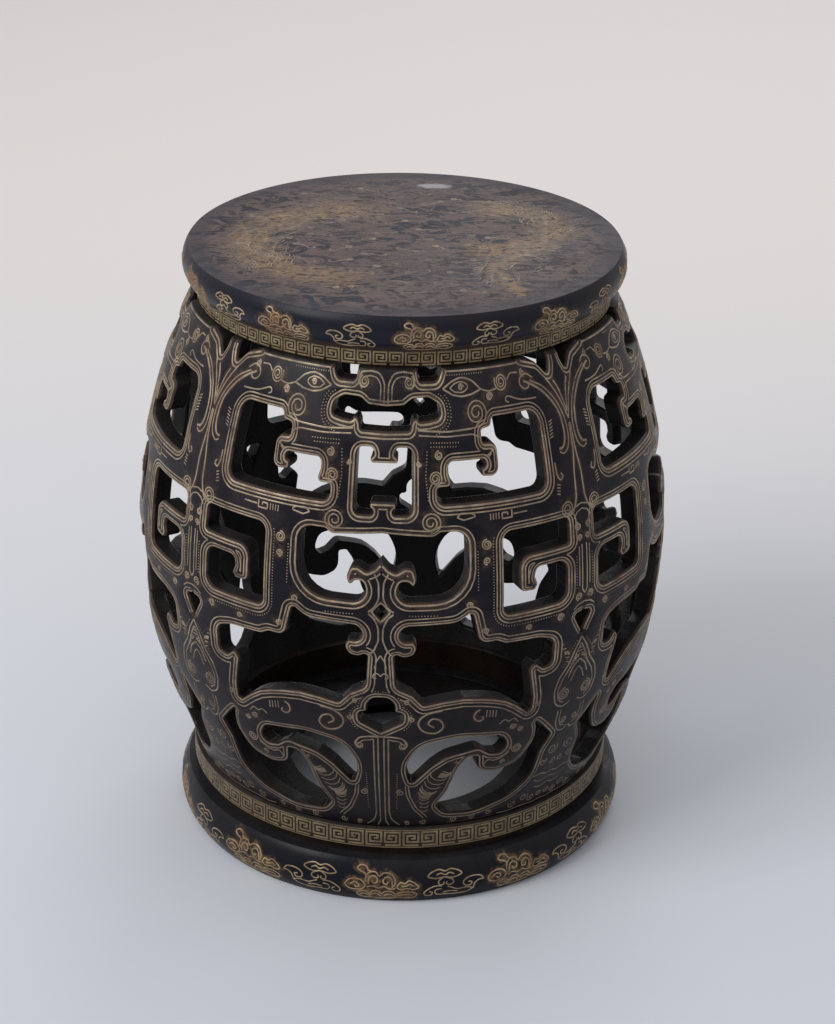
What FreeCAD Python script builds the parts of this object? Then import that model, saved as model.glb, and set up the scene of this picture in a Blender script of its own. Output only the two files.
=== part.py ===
import FreeCAD, Part
import math
import os

import Sketcher
from FreeCAD import Placement, Rotation, Vector

# Drum stool: eight openwork staves stand between two hoops on a ring-shaped plinth and carry a
# framed seat. The drum's axis is Z, the floor is z = 0 and one panel of the wall faces -Y.

doc = FreeCAD.newDocument("DrumStool")

# Driving dimensions: millimetres and counts
SIZES = {
    "stave_count": 8,
    "ring_count": 4,
    "glue_gap": 0.1,
    "end_room": 0.5,
    "plinth_height": 36,
    "plinth_ledge": 5,
    "plinth_width": 50,
    "plinth_edge_round": 29,
    "board_seat": 8,
    "board_hole_radius": 89,
    "board_thickness": 10,
    "board_rebate": 11,
    "lower_hoop_height": 24,
    "lower_hoop_reveal": 4,
    "lower_hoop_width": 25,
    "quirk_height": 7.5,
    "quirk_depth": 5,
    "wall_height": 370,
    "wall_foot_radius": 161,
    "wall_top_radius": 160,
    "wall_thickness": 15,
    "barrel_round": 424,
    "tongue_height": 5,
    "tongue_thickness": 5,
    "tongue_setback": 6,
    "upper_hoop_height": 12,
    "upper_hoop_reveal": 2.5,
    "upper_hoop_width": 19.5,
    "rim_height": 28,
    "rim_overhang": 2.5,
    "rim_flare": 1,
    "rim_width": 38,
    "rim_edge_round": 24,
    "panel_thickness": 14,
    "panel_lip": 5,
    "panel_tongue": 6,
    "panel_tongue_reach": 7,
    "batten_spacing": 100,
    "batten_width": 26,
    "batten_cheek": 4,
    "batten_depth": 11,
    "batten_dovetail": 4,
    "batten_tenon_reach": 12,
    "batten_tenon_shoulder": 2,
    "tenon_reach": 13,
    "rim_tenon_setback": 10,
    "rim_tenon_width": 20,
    "rim_tenon_lift": 4,
    "rim_tenon_height": 8,
    "upper_hoop_tenon_setback": 2,
    "upper_hoop_tenon_width": 7,
    "upper_hoop_tenon_lift": 3.5,
    "upper_hoop_tenon_height": 5,
    "lower_hoop_tenon_setback": 4,
    "lower_hoop_tenon_width": 12,
    "lower_hoop_tenon_lift": 8,
    "lower_hoop_tenon_height": 7,
    "plinth_tenon_setback": 18,
    "plinth_tenon_width": 24,
    "plinth_tenon_lift": 9,
    "plinth_tenon_height": 12,
    "peg_radius": 3,
    "peg_reach": 8,
    "peg_setback": 5.5,
    "dowel_radius": 2.5,
    "dowel_reach": 8,
    "pattern_width": 159.5,
    "pattern_height": 370,
}

sheet = doc.addObject("Spreadsheet::Sheet", "Sizes")
for row, (alias, number) in enumerate(SIZES.items(), start=1):
    sheet.set(f"A{row}", alias)
    sheet.set(f"B{row}", str(number))
    sheet.setAlias(f"B{row}", alias)
doc.recompute()

# Levels and radii where pieces meet, as sums of the driving dimensions
WALL_FOOT = "plinth_height + lower_hoop_height"
WALL_TOP = WALL_FOOT + " + wall_height"
RIM_FOOT = WALL_TOP + " + upper_hoop_height"
SEAT_TOP = RIM_FOOT + " + rim_height"
PANEL_UNDERSIDE = SEAT_TOP + " - panel_thickness"
GROOVE_FLOOR = SEAT_TOP + " - panel_lip - panel_tongue"

LOWER_HOOP_EDGE = "wall_foot_radius + lower_hoop_reveal"
LOWER_HOOP_INSIDE = LOWER_HOOP_EDGE + " - lower_hoop_width"
PLINTH_EDGE = LOWER_HOOP_EDGE + " + plinth_ledge"
PLINTH_INSIDE = PLINTH_EDGE + " - plinth_width"
BOARD_EDGE = PLINTH_INSIDE + " + board_seat"
UPPER_HOOP_EDGE = "wall_top_radius - upper_hoop_reveal"
UPPER_HOOP_INSIDE = UPPER_HOOP_EDGE + " - upper_hoop_width"
RIM_EDGE = UPPER_HOOP_EDGE + " + rim_overhang"
PANEL_EDGE = RIM_EDGE + " - rim_width"

TINY = 1e-6
UP = Vector(0, 0, 1)


def amount(terms):
    """Number that a sum of sizes, such as "wall_height + rim_height", comes to."""
    total = 0.0
    sign = 1
    for word in terms.split():
        if word in ("+", "-"):
            sign = 1 if word == "+" else -1
        else:
            total += sign * getattr(sheet, word)
    return total


def bound(terms):
    """The same sum as an expression on the sheet's cells."""
    return " ".join(word if word in ("+", "-") else "Sizes." + word for word in terms.split())


def bind(sketch, constraint, terms):
    """Add a sized constraint to a sketch and tie its value to the sheet."""
    index = sketch.addConstraint(constraint)
    sketch.setExpression(f"Constraints[{index}]", bound(terms))


def polar(radius, angle, height=0.0):
    turn = math.radians(angle)
    return Vector(radius * math.cos(turn), radius * math.sin(turn), height)


def new_sketch(body, name, role, swing=0):
    """Sketch on one of a body's origin planes; an upright plane can swing round the axis."""
    plane = next(item for item in body.Origin.OriginFeatures if item.Role == role)
    sketch = body.newObject("Sketcher::SketchObject", name)
    sketch.AttachmentSupport = (plane, [""])
    sketch.MapMode = "FlatFace"
    sketch.AttachmentOffset = Placement(Vector(), Rotation(Vector(0, 1, 0), swing))
    return sketch


def bowed_edge(start, end, radius):
    """Arc between two points that bows away from the axis."""
    chord = end - start
    outward = Vector(chord.y, -chord.x, 0).normalize()
    if outward.x < 0:
        outward = outward.negative()
    rise = radius - math.sqrt(radius ** 2 - (chord.Length / 2) ** 2)
    return Part.Arc(start, (start + end) / 2 + outward * rise, end)


def draw(sketch, corners):
    """Closed outline tied to the sheet. A corner is (across, up); a third entry is the radius
    of the bowed edge that leaves it, and an empty sum lies on the axis."""
    points = [Vector(amount(corner[0]), amount(corner[1]), 0) for corner in corners]
    edges = []
    for corner, start, end in zip(corners, points, points[1:] + points[:1]):
        if len(corner) == 3:
            edge = sketch.addGeometry(bowed_edge(start, end, amount(corner[2])))
            bind(sketch, Sketcher.Constraint("Radius", edge, amount(corner[2])), corner[2])
        else:
            edge = sketch.addGeometry(Part.LineSegment(start, end))
        first = 1 if sketch.getPoint(edge, 1).distanceToPoint(start) < TINY else 2
        edges.append((edge, first))
    for (edge, first), (following, joined) in zip(edges, edges[1:] + edges[:1]):
        sketch.addConstraint(Sketcher.Constraint("Coincident", edge, 3 - first, following, joined))
    for (edge, first), corner in zip(edges, corners):
        for kind, axis, terms in (("DistanceX", -2, corner[0]), ("DistanceY", -1, corner[1])):
            if terms:
                bind(sketch, Sketcher.Constraint(kind, -1, 1, edge, first, amount(terms)), terms)
            else:
                sketch.addConstraint(Sketcher.Constraint("PointOnObject", edge, first, axis))


def rectangle(left, right, low, high):
    return [(left, low), (right, low), (right, high), (left, high)]


def revolve(body, corners, angle):
    """Turn a profile round the axis, through an angle given as an expression."""
    sketch = new_sketch(body, body.Name + "_profile", "XZ_Plane")
    draw(sketch, corners)
    turn = body.newObject("PartDesign::Revolution", body.Name + "_turn")
    turn.Profile = sketch
    turn.ReferenceAxis = (sketch, ["V_Axis"])
    turn.setExpression("Angle", angle)


def cut_through(body, sketch):
    hole = body.newObject("PartDesign::Pocket", sketch.Name + "_cut")
    hole.Profile = sketch
    hole.Type = "ThroughAll"
    hole.Midplane = True


def cut_to_depth(body, sketch, depth, along_normal):
    hole = body.newObject("PartDesign::Pocket", sketch.Name + "_cut")
    hole.Profile = sketch
    hole.Type = "Length"
    hole.setExpression("Length", bound(depth))
    hole.Reversed = along_normal


def add_hole(sketch, centre, radius):
    edge = sketch.addGeometry(Part.Circle(centre, UP, amount(radius)))
    bind(sketch, Sketcher.Constraint("Radius", edge, amount(radius)), radius)


def mirrored_round(master, labels, first_angle, step):
    """Pieces round the axis, each the mirror image of the one before in their shared joint."""
    ring = [master]
    for place, label in enumerate(labels[1:], start=1):
        twin = doc.addObject("Part::Mirroring", label)
        twin.Source = ring[-1]
        twin.Normal = polar(1, first_angle + place * step + 90)
        ring.append(twin)
    master.Label = labels[0]
    return ring


def group(label, members):
    """One node that holds several like pieces as separate solids."""
    node = doc.addObject("Part::Compound", label)
    node.Links = members
    return node


def round_pin(name, radius, length, place):
    pin = doc.addObject("Part::Cylinder", name)
    pin.setExpression("Radius", bound(radius))
    pin.setExpression("Height", bound(length))
    pin.Placement = place
    return pin


nodes = []

# Quarter rings: hoops, plinth and seat rim are each four segments, joined end to end by loose
# tenons. Rings that lie on each other have their joints half a segment apart and are pegged.
ring_angle = 360 / sheet.ring_count
RING_TURN = "360 / Sizes.ring_count"
FRONT = -90
SIDES = ("front", "right", "back", "left")
SIDES_START = FRONT - ring_angle / 2
QUARTERS = ("front_right", "back_right", "back_left", "front_left")
QUARTERS_START = FRONT


def tenon_box(ring, inside, foot):
    """Edges of a ring's loose tenon: inner and outer radius, lower and upper level."""
    left = f"{inside} + {ring}_tenon_setback"
    low = f"{foot} + {ring}_tenon_lift" if foot else f"{ring}_tenon_lift"
    return left, f"{left} + {ring}_tenon_width", low, f"{low} + {ring}_tenon_height"


def quarter_ring(name, profile, tenon):
    """A segment with a mortise in each end."""
    body = doc.addObject("PartDesign::Body", name)
    revolve(body, profile, RING_TURN)
    left, right, low, high = tenon
    mortise = rectangle(
        left + " - glue_gap", right + " + glue_gap", low + " - glue_gap", high + " + glue_gap"
    )
    for end, swing in (("first", 0), ("last", ring_angle)):
        sketch = new_sketch(body, f"{name}_{end}_mortise", "XZ_Plane", swing)
        draw(sketch, mortise)
        cut_to_depth(body, sketch, "tenon_reach + end_room", along_normal=end == "last")
    return body


def loose_tenons(label, tenon, first_angle):
    """A flat tenon in each joint of a ring, half in either segment."""
    left, right, low, high = tenon
    tenons = []
    for place in range(int(sheet.ring_count)):
        tongue = doc.addObject("Part::Box", f"{label}_{place}")
        tongue.setExpression("Length", f"({bound(right)}) - ({bound(left)})")
        tongue.setExpression("Width", "2 * Sizes.tenon_reach")
        tongue.setExpression("Height", f"({bound(high)}) - ({bound(low)})")
        spin = Rotation(UP, first_angle + place * ring_angle)
        corner = Vector(amount(left), -sheet.tenon_reach, amount(low))
        tongue.Placement = Placement(spin.multVec(corner), spin)
        tenons.append(tongue)
    return group(label, tenons)


def peg_holes(body, level, radius, upward):
    """Two upright holes in a segment, a quarter of its length from either end."""
    name = f"{body.Name}_{'under' if upward else 'upper'}_pegs"
    sketch = new_sketch(body, name, "XY_Plane")
    sketch.setExpression("AttachmentOffset.Base.z", bound(level))
    for angle in (ring_angle / 4, 3 * ring_angle / 4):
        add_hole(sketch, polar(amount(radius), angle), "peg_radius + glue_gap")
    cut_to_depth(body, sketch, "peg_reach + end_room", along_normal=upward)


def ring_pegs(label, level, radius):
    """Pegs that pin a ring to the one below it, half in either ring."""
    count = 2 * int(sheet.ring_count)
    pegs = []
    for place in range(count):
        foot = polar(amount(radius), (place + 0.5) * 360 / count, amount(level) - sheet.peg_reach)
        where = Placement(foot, Rotation())
        pegs.append(round_pin(f"{label}_{place}", "peg_radius", "peg_reach + peg_reach", where))
    return group(label, pegs)


def place_ring(body, labels, first_angle):
    body.Placement = Placement(Vector(), Rotation(UP, first_angle))
    return mirrored_round(body, labels, first_angle, ring_angle)


# Plinth: a ring with a rounded outer edge, rebated inside for the base board
plinth_tenon = tenon_box("plinth", PLINTH_INSIDE, "")
plinth = quarter_ring("plinth_front", [
    (PLINTH_INSIDE, ""),
    (PLINTH_EDGE, "", "plinth_edge_round"),
    (PLINTH_EDGE, "plinth_height"),
    (BOARD_EDGE, "plinth_height"),
    (BOARD_EDGE, "plinth_height - board_rebate"),
    (PLINTH_INSIDE, "plinth_height - board_rebate"),
], plinth_tenon)
PLINTH_PEGS = LOWER_HOOP_INSIDE + " + peg_setback"
peg_holes(plinth, "plinth_height", PLINTH_PEGS, upward=False)
nodes += place_ring(plinth, [f"plinth_{side}" for side in SIDES], SIDES_START)
nodes.append(loose_tenons("plinth_tenons", plinth_tenon, SIDES_START))
nodes.append(ring_pegs("plinth_pegs", "plinth_height", PLINTH_PEGS))

# Base board: a thin board with a round hole, lying in the plinth's rebate
base_board = doc.addObject("PartDesign::Body", "base_board")
revolve(base_board, rectangle(
    "board_hole_radius",
    BOARD_EDGE + " - glue_gap",
    "plinth_height - board_rebate",
    "plinth_height - board_rebate + board_thickness",
), "360")
nodes.append(base_board)

# Lower hoop: the ring under the wall, undercut along its foot and grooved on top for the staves
LOWER_GROOVE_EDGE = "wall_foot_radius - tongue_setback + glue_gap"
LOWER_GROOVE_INSIDE = "wall_foot_radius - tongue_setback - tongue_thickness - glue_gap"
LOWER_GROOVE_FLOOR = WALL_FOOT + " - tongue_height - end_room"
lower_hoop_tenon = tenon_box("lower_hoop", LOWER_HOOP_INSIDE, "plinth_height")
lower_hoop = quarter_ring("lower_hoop_front_right", [
    (LOWER_HOOP_INSIDE, "plinth_height"),
    (LOWER_HOOP_EDGE + " - quirk_depth", "plinth_height"),
    (LOWER_HOOP_EDGE + " - quirk_depth", "plinth_height + quirk_height"),
    (LOWER_HOOP_EDGE, "plinth_height + quirk_height"),
    (LOWER_HOOP_EDGE, WALL_FOOT),
    (LOWER_GROOVE_EDGE, WALL_FOOT),
    (LOWER_GROOVE_EDGE, LOWER_GROOVE_FLOOR),
    (LOWER_GROOVE_INSIDE, LOWER_GROOVE_FLOOR),
    (LOWER_GROOVE_INSIDE, WALL_FOOT),
    (LOWER_HOOP_INSIDE, WALL_FOOT),
], lower_hoop_tenon)
peg_holes(lower_hoop, "plinth_height", PLINTH_PEGS, upward=True)
nodes += place_ring(lower_hoop, [f"lower_hoop_{quarter}" for quarter in QUARTERS], QUARTERS_START)
nodes.append(loose_tenons("lower_hoop_tenons", lower_hoop_tenon, QUARTERS_START))

# Staves: eight barrel staves, each half of a panel. The openwork is drawn once for half a panel
# and sawn square through the stave, and neighbours are mirror images of each other.
stave_angle = 360 / sheet.stave_count
STAVES = (
    "front_right", "right_front", "right_back", "back_right",
    "back_left", "left_back", "left_front", "front_left",
)
stave = doc.addObject("PartDesign::Body", "stave_front_right")
TOP_TONGUE_EDGE = "wall_top_radius - tongue_setback"
TOP_TONGUE_INSIDE = TOP_TONGUE_EDGE + " - tongue_thickness"
FOOT_TONGUE_EDGE = "wall_foot_radius - tongue_setback"
FOOT_TONGUE_INSIDE = FOOT_TONGUE_EDGE + " - tongue_thickness"
revolve(stave, [
    ("wall_foot_radius", WALL_FOOT, "barrel_round"),
    ("wall_top_radius", WALL_TOP),
    (TOP_TONGUE_EDGE, WALL_TOP),
    (TOP_TONGUE_EDGE, WALL_TOP + " + tongue_height"),
    (TOP_TONGUE_INSIDE, WALL_TOP + " + tongue_height"),
    (TOP_TONGUE_INSIDE, WALL_TOP),
    ("wall_top_radius - wall_thickness", WALL_TOP, "barrel_round"),
    ("wall_foot_radius - wall_thickness", WALL_FOOT),
    (FOOT_TONGUE_INSIDE, WALL_FOOT),
    (FOOT_TONGUE_INSIDE, WALL_FOOT + " - tongue_height"),
    (FOOT_TONGUE_EDGE, WALL_FOOT + " - tongue_height"),
    (FOOT_TONGUE_EDGE, WALL_FOOT),
], "360 / Sizes.stave_count")

barrel_circle = bowed_edge(
    Vector(sheet.wall_foot_radius, amount(WALL_FOOT), 0),
    Vector(sheet.wall_top_radius, amount(WALL_TOP), 0),
    sheet.barrel_round,
).toShape().Curve


def wall_radius(height):
    """Radius of the wall's outer face at a height above the floor."""
    rise = height - barrel_circle.Center.y
    return barrel_circle.Center.x + math.sqrt(barrel_circle.Radius ** 2 - rise ** 2)


def pattern_level(up):
    """Height above the floor of a height on the pattern, which is counted from the wall's foot."""
    return amount(WALL_FOOT) + up * sheet.wall_height / sheet.pattern_height


def rounded_outline(corners):
    """Edges of a closed outline whose corners (x, y, radius) are rounded off. A radius that
    would overrun an edge is limited to half of that edge."""
    arcs = []
    for before, corner, after in zip(corners[-1:] + corners[:-1], corners, corners[1:] + corners[:1]):
        point = Vector(corner[0], corner[1], 0)
        back = Vector(before[0], before[1], 0) - point
        ahead = Vector(after[0], after[1], 0) - point
        half = back.getAngle(ahead) / 2
        reach = min(corner[2] / math.tan(half), back.Length / 2, ahead.Length / 2)
        inward = (back.normalize() + ahead.normalize()).normalize()
        crown = point + inward * (reach / math.cos(half) - reach * math.tan(half))
        arcs.append((point + back * reach, crown, point + ahead * reach))
    edges = []
    for (start, crown, end), (following, _, _) in zip(arcs, arcs[1:] + arcs[:1]):
        if start.distanceToPoint(end) > TINY:
            edges.append(Part.Arc(start, crown, end))
        if end.distanceToPoint(following) > TINY:
            edges.append(Part.LineSegment(end, following))
    return edges


def saw_opening(name, corners):
    """Saw one opening square to the wall at the middle of the opening. Its corners are
    (across, up, radius): across counts round the belly from the panel's middle."""
    across = [corner[0] for corner in corners]
    degrees = stave_angle / sheet.pattern_width
    middle = (min(across) + max(across)) / 2 * degrees
    outline = []
    for around, up, radius in corners:
        height = pattern_level(up)
        outline.append((
            wall_radius(height) * math.sin(math.radians(around * degrees - middle)), height, radius
        ))
    sketch = new_sketch(stave, name, "YZ_Plane", middle)
    for edge in rounded_outline(outline):
        sketch.addGeometry(edge)
    cut_through(stave, sketch)


def both_halves(corners, line=0.0):
    """Outline of an opening that lies across a seam, from the half that is drawn."""
    other = [(2 * line - u, up, radius) for u, up, radius in reversed(corners) if u != line]
    return corners + other


saw_opening("brow_gap", [
    (27, 380, 0), (50, 380, 0), (48, 370, 0), (44, 361.5, 6), (28, 361.5, 3), (26.5, 368, 2),
])
saw_opening("corner_gap", [
    (122, 380, 0), (153.5, 380, 0), (152.5, 364, 0), (149, 356, 1), (139, 366, 12), (122, 370.5, 0),
])
saw_opening("collar_slot", both_halves([
    (0, 329.5, 0), (20.5, 330, 3), (21, 334.5, 2), (24, 339.5, 2.5), (28.5, 335.8, 3), (36, 336.4, 8),
    (45.5, 338.3, 4), (44.3, 347, 5), (36, 351.5, 8), (22, 351, 8), (15, 346.5, 5), (0, 345.5, 0),
]))
saw_opening("hook_window", [
    (88.5, 336, 3), (130, 336, 10), (130, 280, 8), (41, 280, 8), (41, 292, 0.8), (53, 292, 4),
    (50, 301, 3), (50, 309, 4), (79.5, 309, 3), (80, 304, 1.5), (76, 303, 1.2), (75.5, 297.5, 3),
    (90.5, 296, 7), (90.5, 319.5, 9), (78.5, 320, 1), (78.5, 328.5, 2), (87, 330, 4),
])
saw_opening("key_slot", both_halves([
    (10.5, 308.5, 2), (11, 312.5, 1.5), (7.8, 314, 1.5), (9.5, 319, 3), (22, 319, 5), (22, 272.8, 5),
    (8, 272.8, 3), (7.2, 276.6, 1.5), (10.3, 278, 1.2), (9.8, 282, 2),
]))
saw_opening("wide_window", both_halves([
    (0, 260, 0), (12, 259, 20), (38, 257.2, 8), (43, 260.5, 2), (63, 260.5, 11), (63, 209.5, 24),
    (16, 208.8, 9), (10.6, 217, 9), (14, 225.2, 6), (19.5, 224.6, 3), (23.4, 220.2, 1.2),
    (25.8, 226.5, 6), (23, 235, 6), (17, 235.4, 5), (10.5, 231.4, 3), (5.5, 234, 2), (0, 240, 0),
]))
saw_opening("diamond", both_halves([(0, 207.5, 0), (5, 202, 0), (0, 196, 0)]))
saw_opening("side_window", [
    (90.5, 256.5, 7), (146.5, 256.5, 4), (146.5, 236.5, 1), (103, 236.5, 10), (103, 209, 5),
    (115, 208.5, 3), (118, 213, 1), (115.5, 219, 3), (117, 225.5, 5), (143.5, 225.5, 8),
    (143.5, 194, 8), (90.5, 194, 5),
])
saw_opening("shoulder_window", [
    (9.5, 169, 2), (11.2, 140, 7), (24, 133.5, 6), (32, 124.5, 0.8), (62, 130.5, 70), (97.5, 122, 45),
    (119, 104, 0.5), (119, 118, 20), (113.5, 143, 3), (118, 149, 3), (125.5, 142.5, 3),
    (133.5, 143.5, 4), (133.5, 165, 9), (118, 169.5, 20), (92, 170.5, 6), (85, 174, 4),
    (72, 173.5, 12), (66, 199.5, 0.5), (56, 192, 30), (17, 190.4, 7), (12.8, 184, 7),
    (16, 177.8, 5), (24, 178.6, 1.5), (26.6, 173, 5), (23.5, 167, 6), (16, 165.2, 7),
])
saw_opening("heart", both_halves([
    (6, 131, 7), (10.6, 125, 7), (10.2, 118.4, 1.5), (16.8, 117.6, 3), (16.6, 109.5, 4), (0, 100, 0),
]))
saw_opening("upper_crescent", [
    (24, 48, 2), (18.5, 66, 22), (30, 87.5, 22), (60, 93, 40), (97, 88.5, 10), (103, 77.5, 8),
    (98, 71, 6), (88, 73, 6), (78, 80.5, 9), (52, 75, 25), (40, 66, 12),
])
saw_opening("lower_crescent", [
    (78, 72, 2), (80, 57, 10), (96, 52.5, 18), (117, 57.5, 20), (128.5, 77, 18), (127.5, 90, 15),
    (124.5, 96, 0.5), (133, 88, 20), (144.5, 76, 0.5), (137, 62, 15), (136, 36, 20),
    (118, 20.5, 30), (84, 11, 40), (55, 13.5, 14), (47, 23.5, 4), (56, 38, 20), (63, 62, 20),
    (70, 72, 4),
])
SEAM = sheet.pattern_width
saw_opening("seam_gap", both_halves([(SEAM, 180.5, 0), (SEAM - 8.5, 179, 1.5), (SEAM, 164, 0)], SEAM))

# Seam dowels: round pins across the staves' joints, at these heights on the pattern
CENTRE_SEAM = (358, 324, 266, 224, 85, 25)
CORNER_SEAM = (340, 270, 205, 130, 40)


def dowel_spot(up):
    """Radius and height of a dowel in the middle of the wall's thickness."""
    height = pattern_level(up)
    return wall_radius(height) - sheet.wall_thickness / 2, height


def seam_dowels(label, seam, first_angle):
    dowels = []
    for panel_number in range(int(sheet.stave_count) // 2):
        angle = first_angle + panel_number * 2 * stave_angle
        along = polar(1, angle + 90)
        for up in seam:
            end = polar(dowel_spot(up)[0], angle, dowel_spot(up)[1]) - along * sheet.dowel_reach
            name = f"{label}_{len(dowels)}"
            where = Placement(end, Rotation(UP, along))
            dowels.append(round_pin(name, "dowel_radius", "dowel_reach + dowel_reach", where))
    return group(label, dowels)


for seam_name, seam, swing in (("centre", CENTRE_SEAM, 0), ("corner", CORNER_SEAM, stave_angle)):
    holes = new_sketch(stave, f"{seam_name}_seam_holes", "XZ_Plane", swing)
    for up in seam:
        add_hole(holes, Vector(*dowel_spot(up), 0), "dowel_radius + glue_gap")
    cut_to_depth(stave, holes, "dowel_reach + end_room", along_normal=swing > 0)
    nodes.append(seam_dowels(f"{seam_name}_seam_dowels", seam, FRONT + swing))

stave.Placement = Placement(Vector(), Rotation(UP, FRONT))
stave_labels = [f"stave_{place}" for place in STAVES]
nodes += mirrored_round(stave, stave_labels, FRONT, stave_angle)

# Upper hoop: the ring that ties the staves' heads, grooved underneath for their tongues
UPPER_GROOVE_EDGE = TOP_TONGUE_EDGE + " + glue_gap"
UPPER_GROOVE_INSIDE = TOP_TONGUE_INSIDE + " - glue_gap"
UPPER_GROOVE_ROOF = WALL_TOP + " + tongue_height + end_room"
upper_hoop_tenon = tenon_box("upper_hoop", UPPER_HOOP_INSIDE, WALL_TOP)
upper_hoop = quarter_ring("upper_hoop_front_right", [
    (UPPER_HOOP_INSIDE, WALL_TOP),
    (UPPER_GROOVE_INSIDE, WALL_TOP),
    (UPPER_GROOVE_INSIDE, UPPER_GROOVE_ROOF),
    (UPPER_GROOVE_EDGE, UPPER_GROOVE_ROOF),
    (UPPER_GROOVE_EDGE, WALL_TOP),
    (UPPER_HOOP_EDGE, WALL_TOP),
    (UPPER_HOOP_EDGE, RIM_FOOT),
    (UPPER_HOOP_INSIDE, RIM_FOOT),
], upper_hoop_tenon)
RIM_PEGS = UPPER_HOOP_INSIDE + " + peg_setback"
peg_holes(upper_hoop, RIM_FOOT, RIM_PEGS, upward=False)
nodes += place_ring(upper_hoop, [f"upper_hoop_{quarter}" for quarter in QUARTERS], QUARTERS_START)
nodes.append(loose_tenons("upper_hoop_tenons", upper_hoop_tenon, QUARTERS_START))
nodes.append(ring_pegs("rim_pegs", RIM_FOOT, RIM_PEGS))

# Seat rim: four segments with a rounded edge, grooved inside for the panel's tongue
GROOVE_REACH = PANEL_EDGE + " + panel_tongue_reach + end_room"
rim_tenon = tenon_box("rim", PANEL_EDGE, RIM_FOOT)
rim = quarter_ring("seat_rim_front", [
    (PANEL_EDGE, RIM_FOOT),
    (RIM_EDGE, RIM_FOOT, "rim_edge_round"),
    (RIM_EDGE + " + rim_flare", SEAT_TOP),
    (PANEL_EDGE, SEAT_TOP),
    (PANEL_EDGE, SEAT_TOP + " - panel_lip"),
    (GROOVE_REACH, SEAT_TOP + " - panel_lip"),
    (GROOVE_REACH, GROOVE_FLOOR),
    (PANEL_EDGE, GROOVE_FLOOR),
], rim_tenon)
peg_holes(rim, RIM_FOOT, RIM_PEGS, upward=True)
rim_labels = ["seat_rim_front", "rim_right_blank", "seat_rim_back", "rim_left_blank"]
rim_front, rim_right, rim_back, rim_left = place_ring(rim, rim_labels, SIDES_START)
nodes += [rim_front, rim_back, loose_tenons("rim_tenons", rim_tenon, SIDES_START)]

# Battens: two bars dovetailed across the underside of the panel, tenoned into the rim's sides
BATTEN_HALF = "sqrt((%s)^2 - (Sizes.batten_spacing / 2 + Sizes.batten_width / 2)^2) - Sizes.glue_gap"
TENON_HALF = "sqrt((%s)^2 - (Sizes.batten_spacing / 2)^2) + Sizes.batten_tenon_reach"
MORTISE_SIDE = "Sizes.batten_spacing / 2 + Sizes.batten_width / 2 - Sizes.batten_cheek + Sizes.glue_gap"
BATTEN_SIDE = "-Sizes.batten_spacing / 2 - Sizes.batten_width / 2"
BATTEN_FOOT = PANEL_UNDERSIDE + " - batten_depth"
DOVETAIL_TOP = PANEL_UNDERSIDE + " + batten_dovetail"
TENON_LOW = BATTEN_FOOT + " + batten_tenon_shoulder"
TENON_HIGH = PANEL_UNDERSIDE + " - batten_tenon_shoulder"

batten = doc.addObject("PartDesign::Body", "seat_batten_front")
batten_parts = (
    ("bar", BATTEN_HALF, [
        ("", BATTEN_FOOT),
        ("batten_width", BATTEN_FOOT),
        ("batten_width", PANEL_UNDERSIDE),
        ("batten_width - batten_cheek", PANEL_UNDERSIDE),
        ("batten_width", DOVETAIL_TOP),
        ("", DOVETAIL_TOP),
        ("batten_cheek", PANEL_UNDERSIDE),
        ("", PANEL_UNDERSIDE),
    ]),
    ("tenon", TENON_HALF, rectangle(
        "batten_cheek", "batten_width - batten_cheek", TENON_LOW, TENON_HIGH
    )),
)
for part, half_length, corners in batten_parts:
    profile = new_sketch(batten, f"batten_{part}_profile", "YZ_Plane")
    profile.setExpression("AttachmentOffset.Base.x", BATTEN_SIDE)
    draw(profile, corners)
    pad = batten.newObject("PartDesign::Pad", f"batten_{part}")
    pad.Profile = profile
    pad.Midplane = True
    pad.setExpression("Length", f"2 * ({half_length % bound(PANEL_EDGE)})")
back_batten = doc.addObject("Part::Mirroring", "seat_batten_back")
back_batten.Source = batten
back_batten.Normal = Vector(0, 1, 0)
nodes += [batten, back_batten]

mortise = doc.addObject("Part::Box", "batten_mortise_front")
mortise_half = f"({TENON_HALF % bound(PANEL_EDGE)} + Sizes.end_room)"
mortise.setExpression("Length", "2 * " + mortise_half)
mortise.setExpression("Width", "Sizes.batten_width - 2 * Sizes.batten_cheek + 2 * Sizes.glue_gap")
mortise.setExpression("Height", f"({bound(TENON_HIGH)}) - ({bound(TENON_LOW)}) + 2 * Sizes.glue_gap")
mortise.setExpression("Placement.Base.x", "-" + mortise_half)
mortise.setExpression("Placement.Base.y", f"-({MORTISE_SIDE})")
mortise.setExpression("Placement.Base.z", f"{bound(TENON_LOW)} - Sizes.glue_gap")
back_mortise = doc.addObject("Part::Mirroring", "batten_mortise_back")
back_mortise.Source = mortise
back_mortise.Normal = Vector(0, 1, 0)
mortises = group("batten_mortises", [mortise, back_mortise])
for side, blank in (("right", rim_right), ("left", rim_left)):
    mortised = doc.addObject("Part::Cut", f"seat_rim_{side}")
    mortised.Base = blank
    mortised.Tool = mortises
    nodes.append(mortised)

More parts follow.
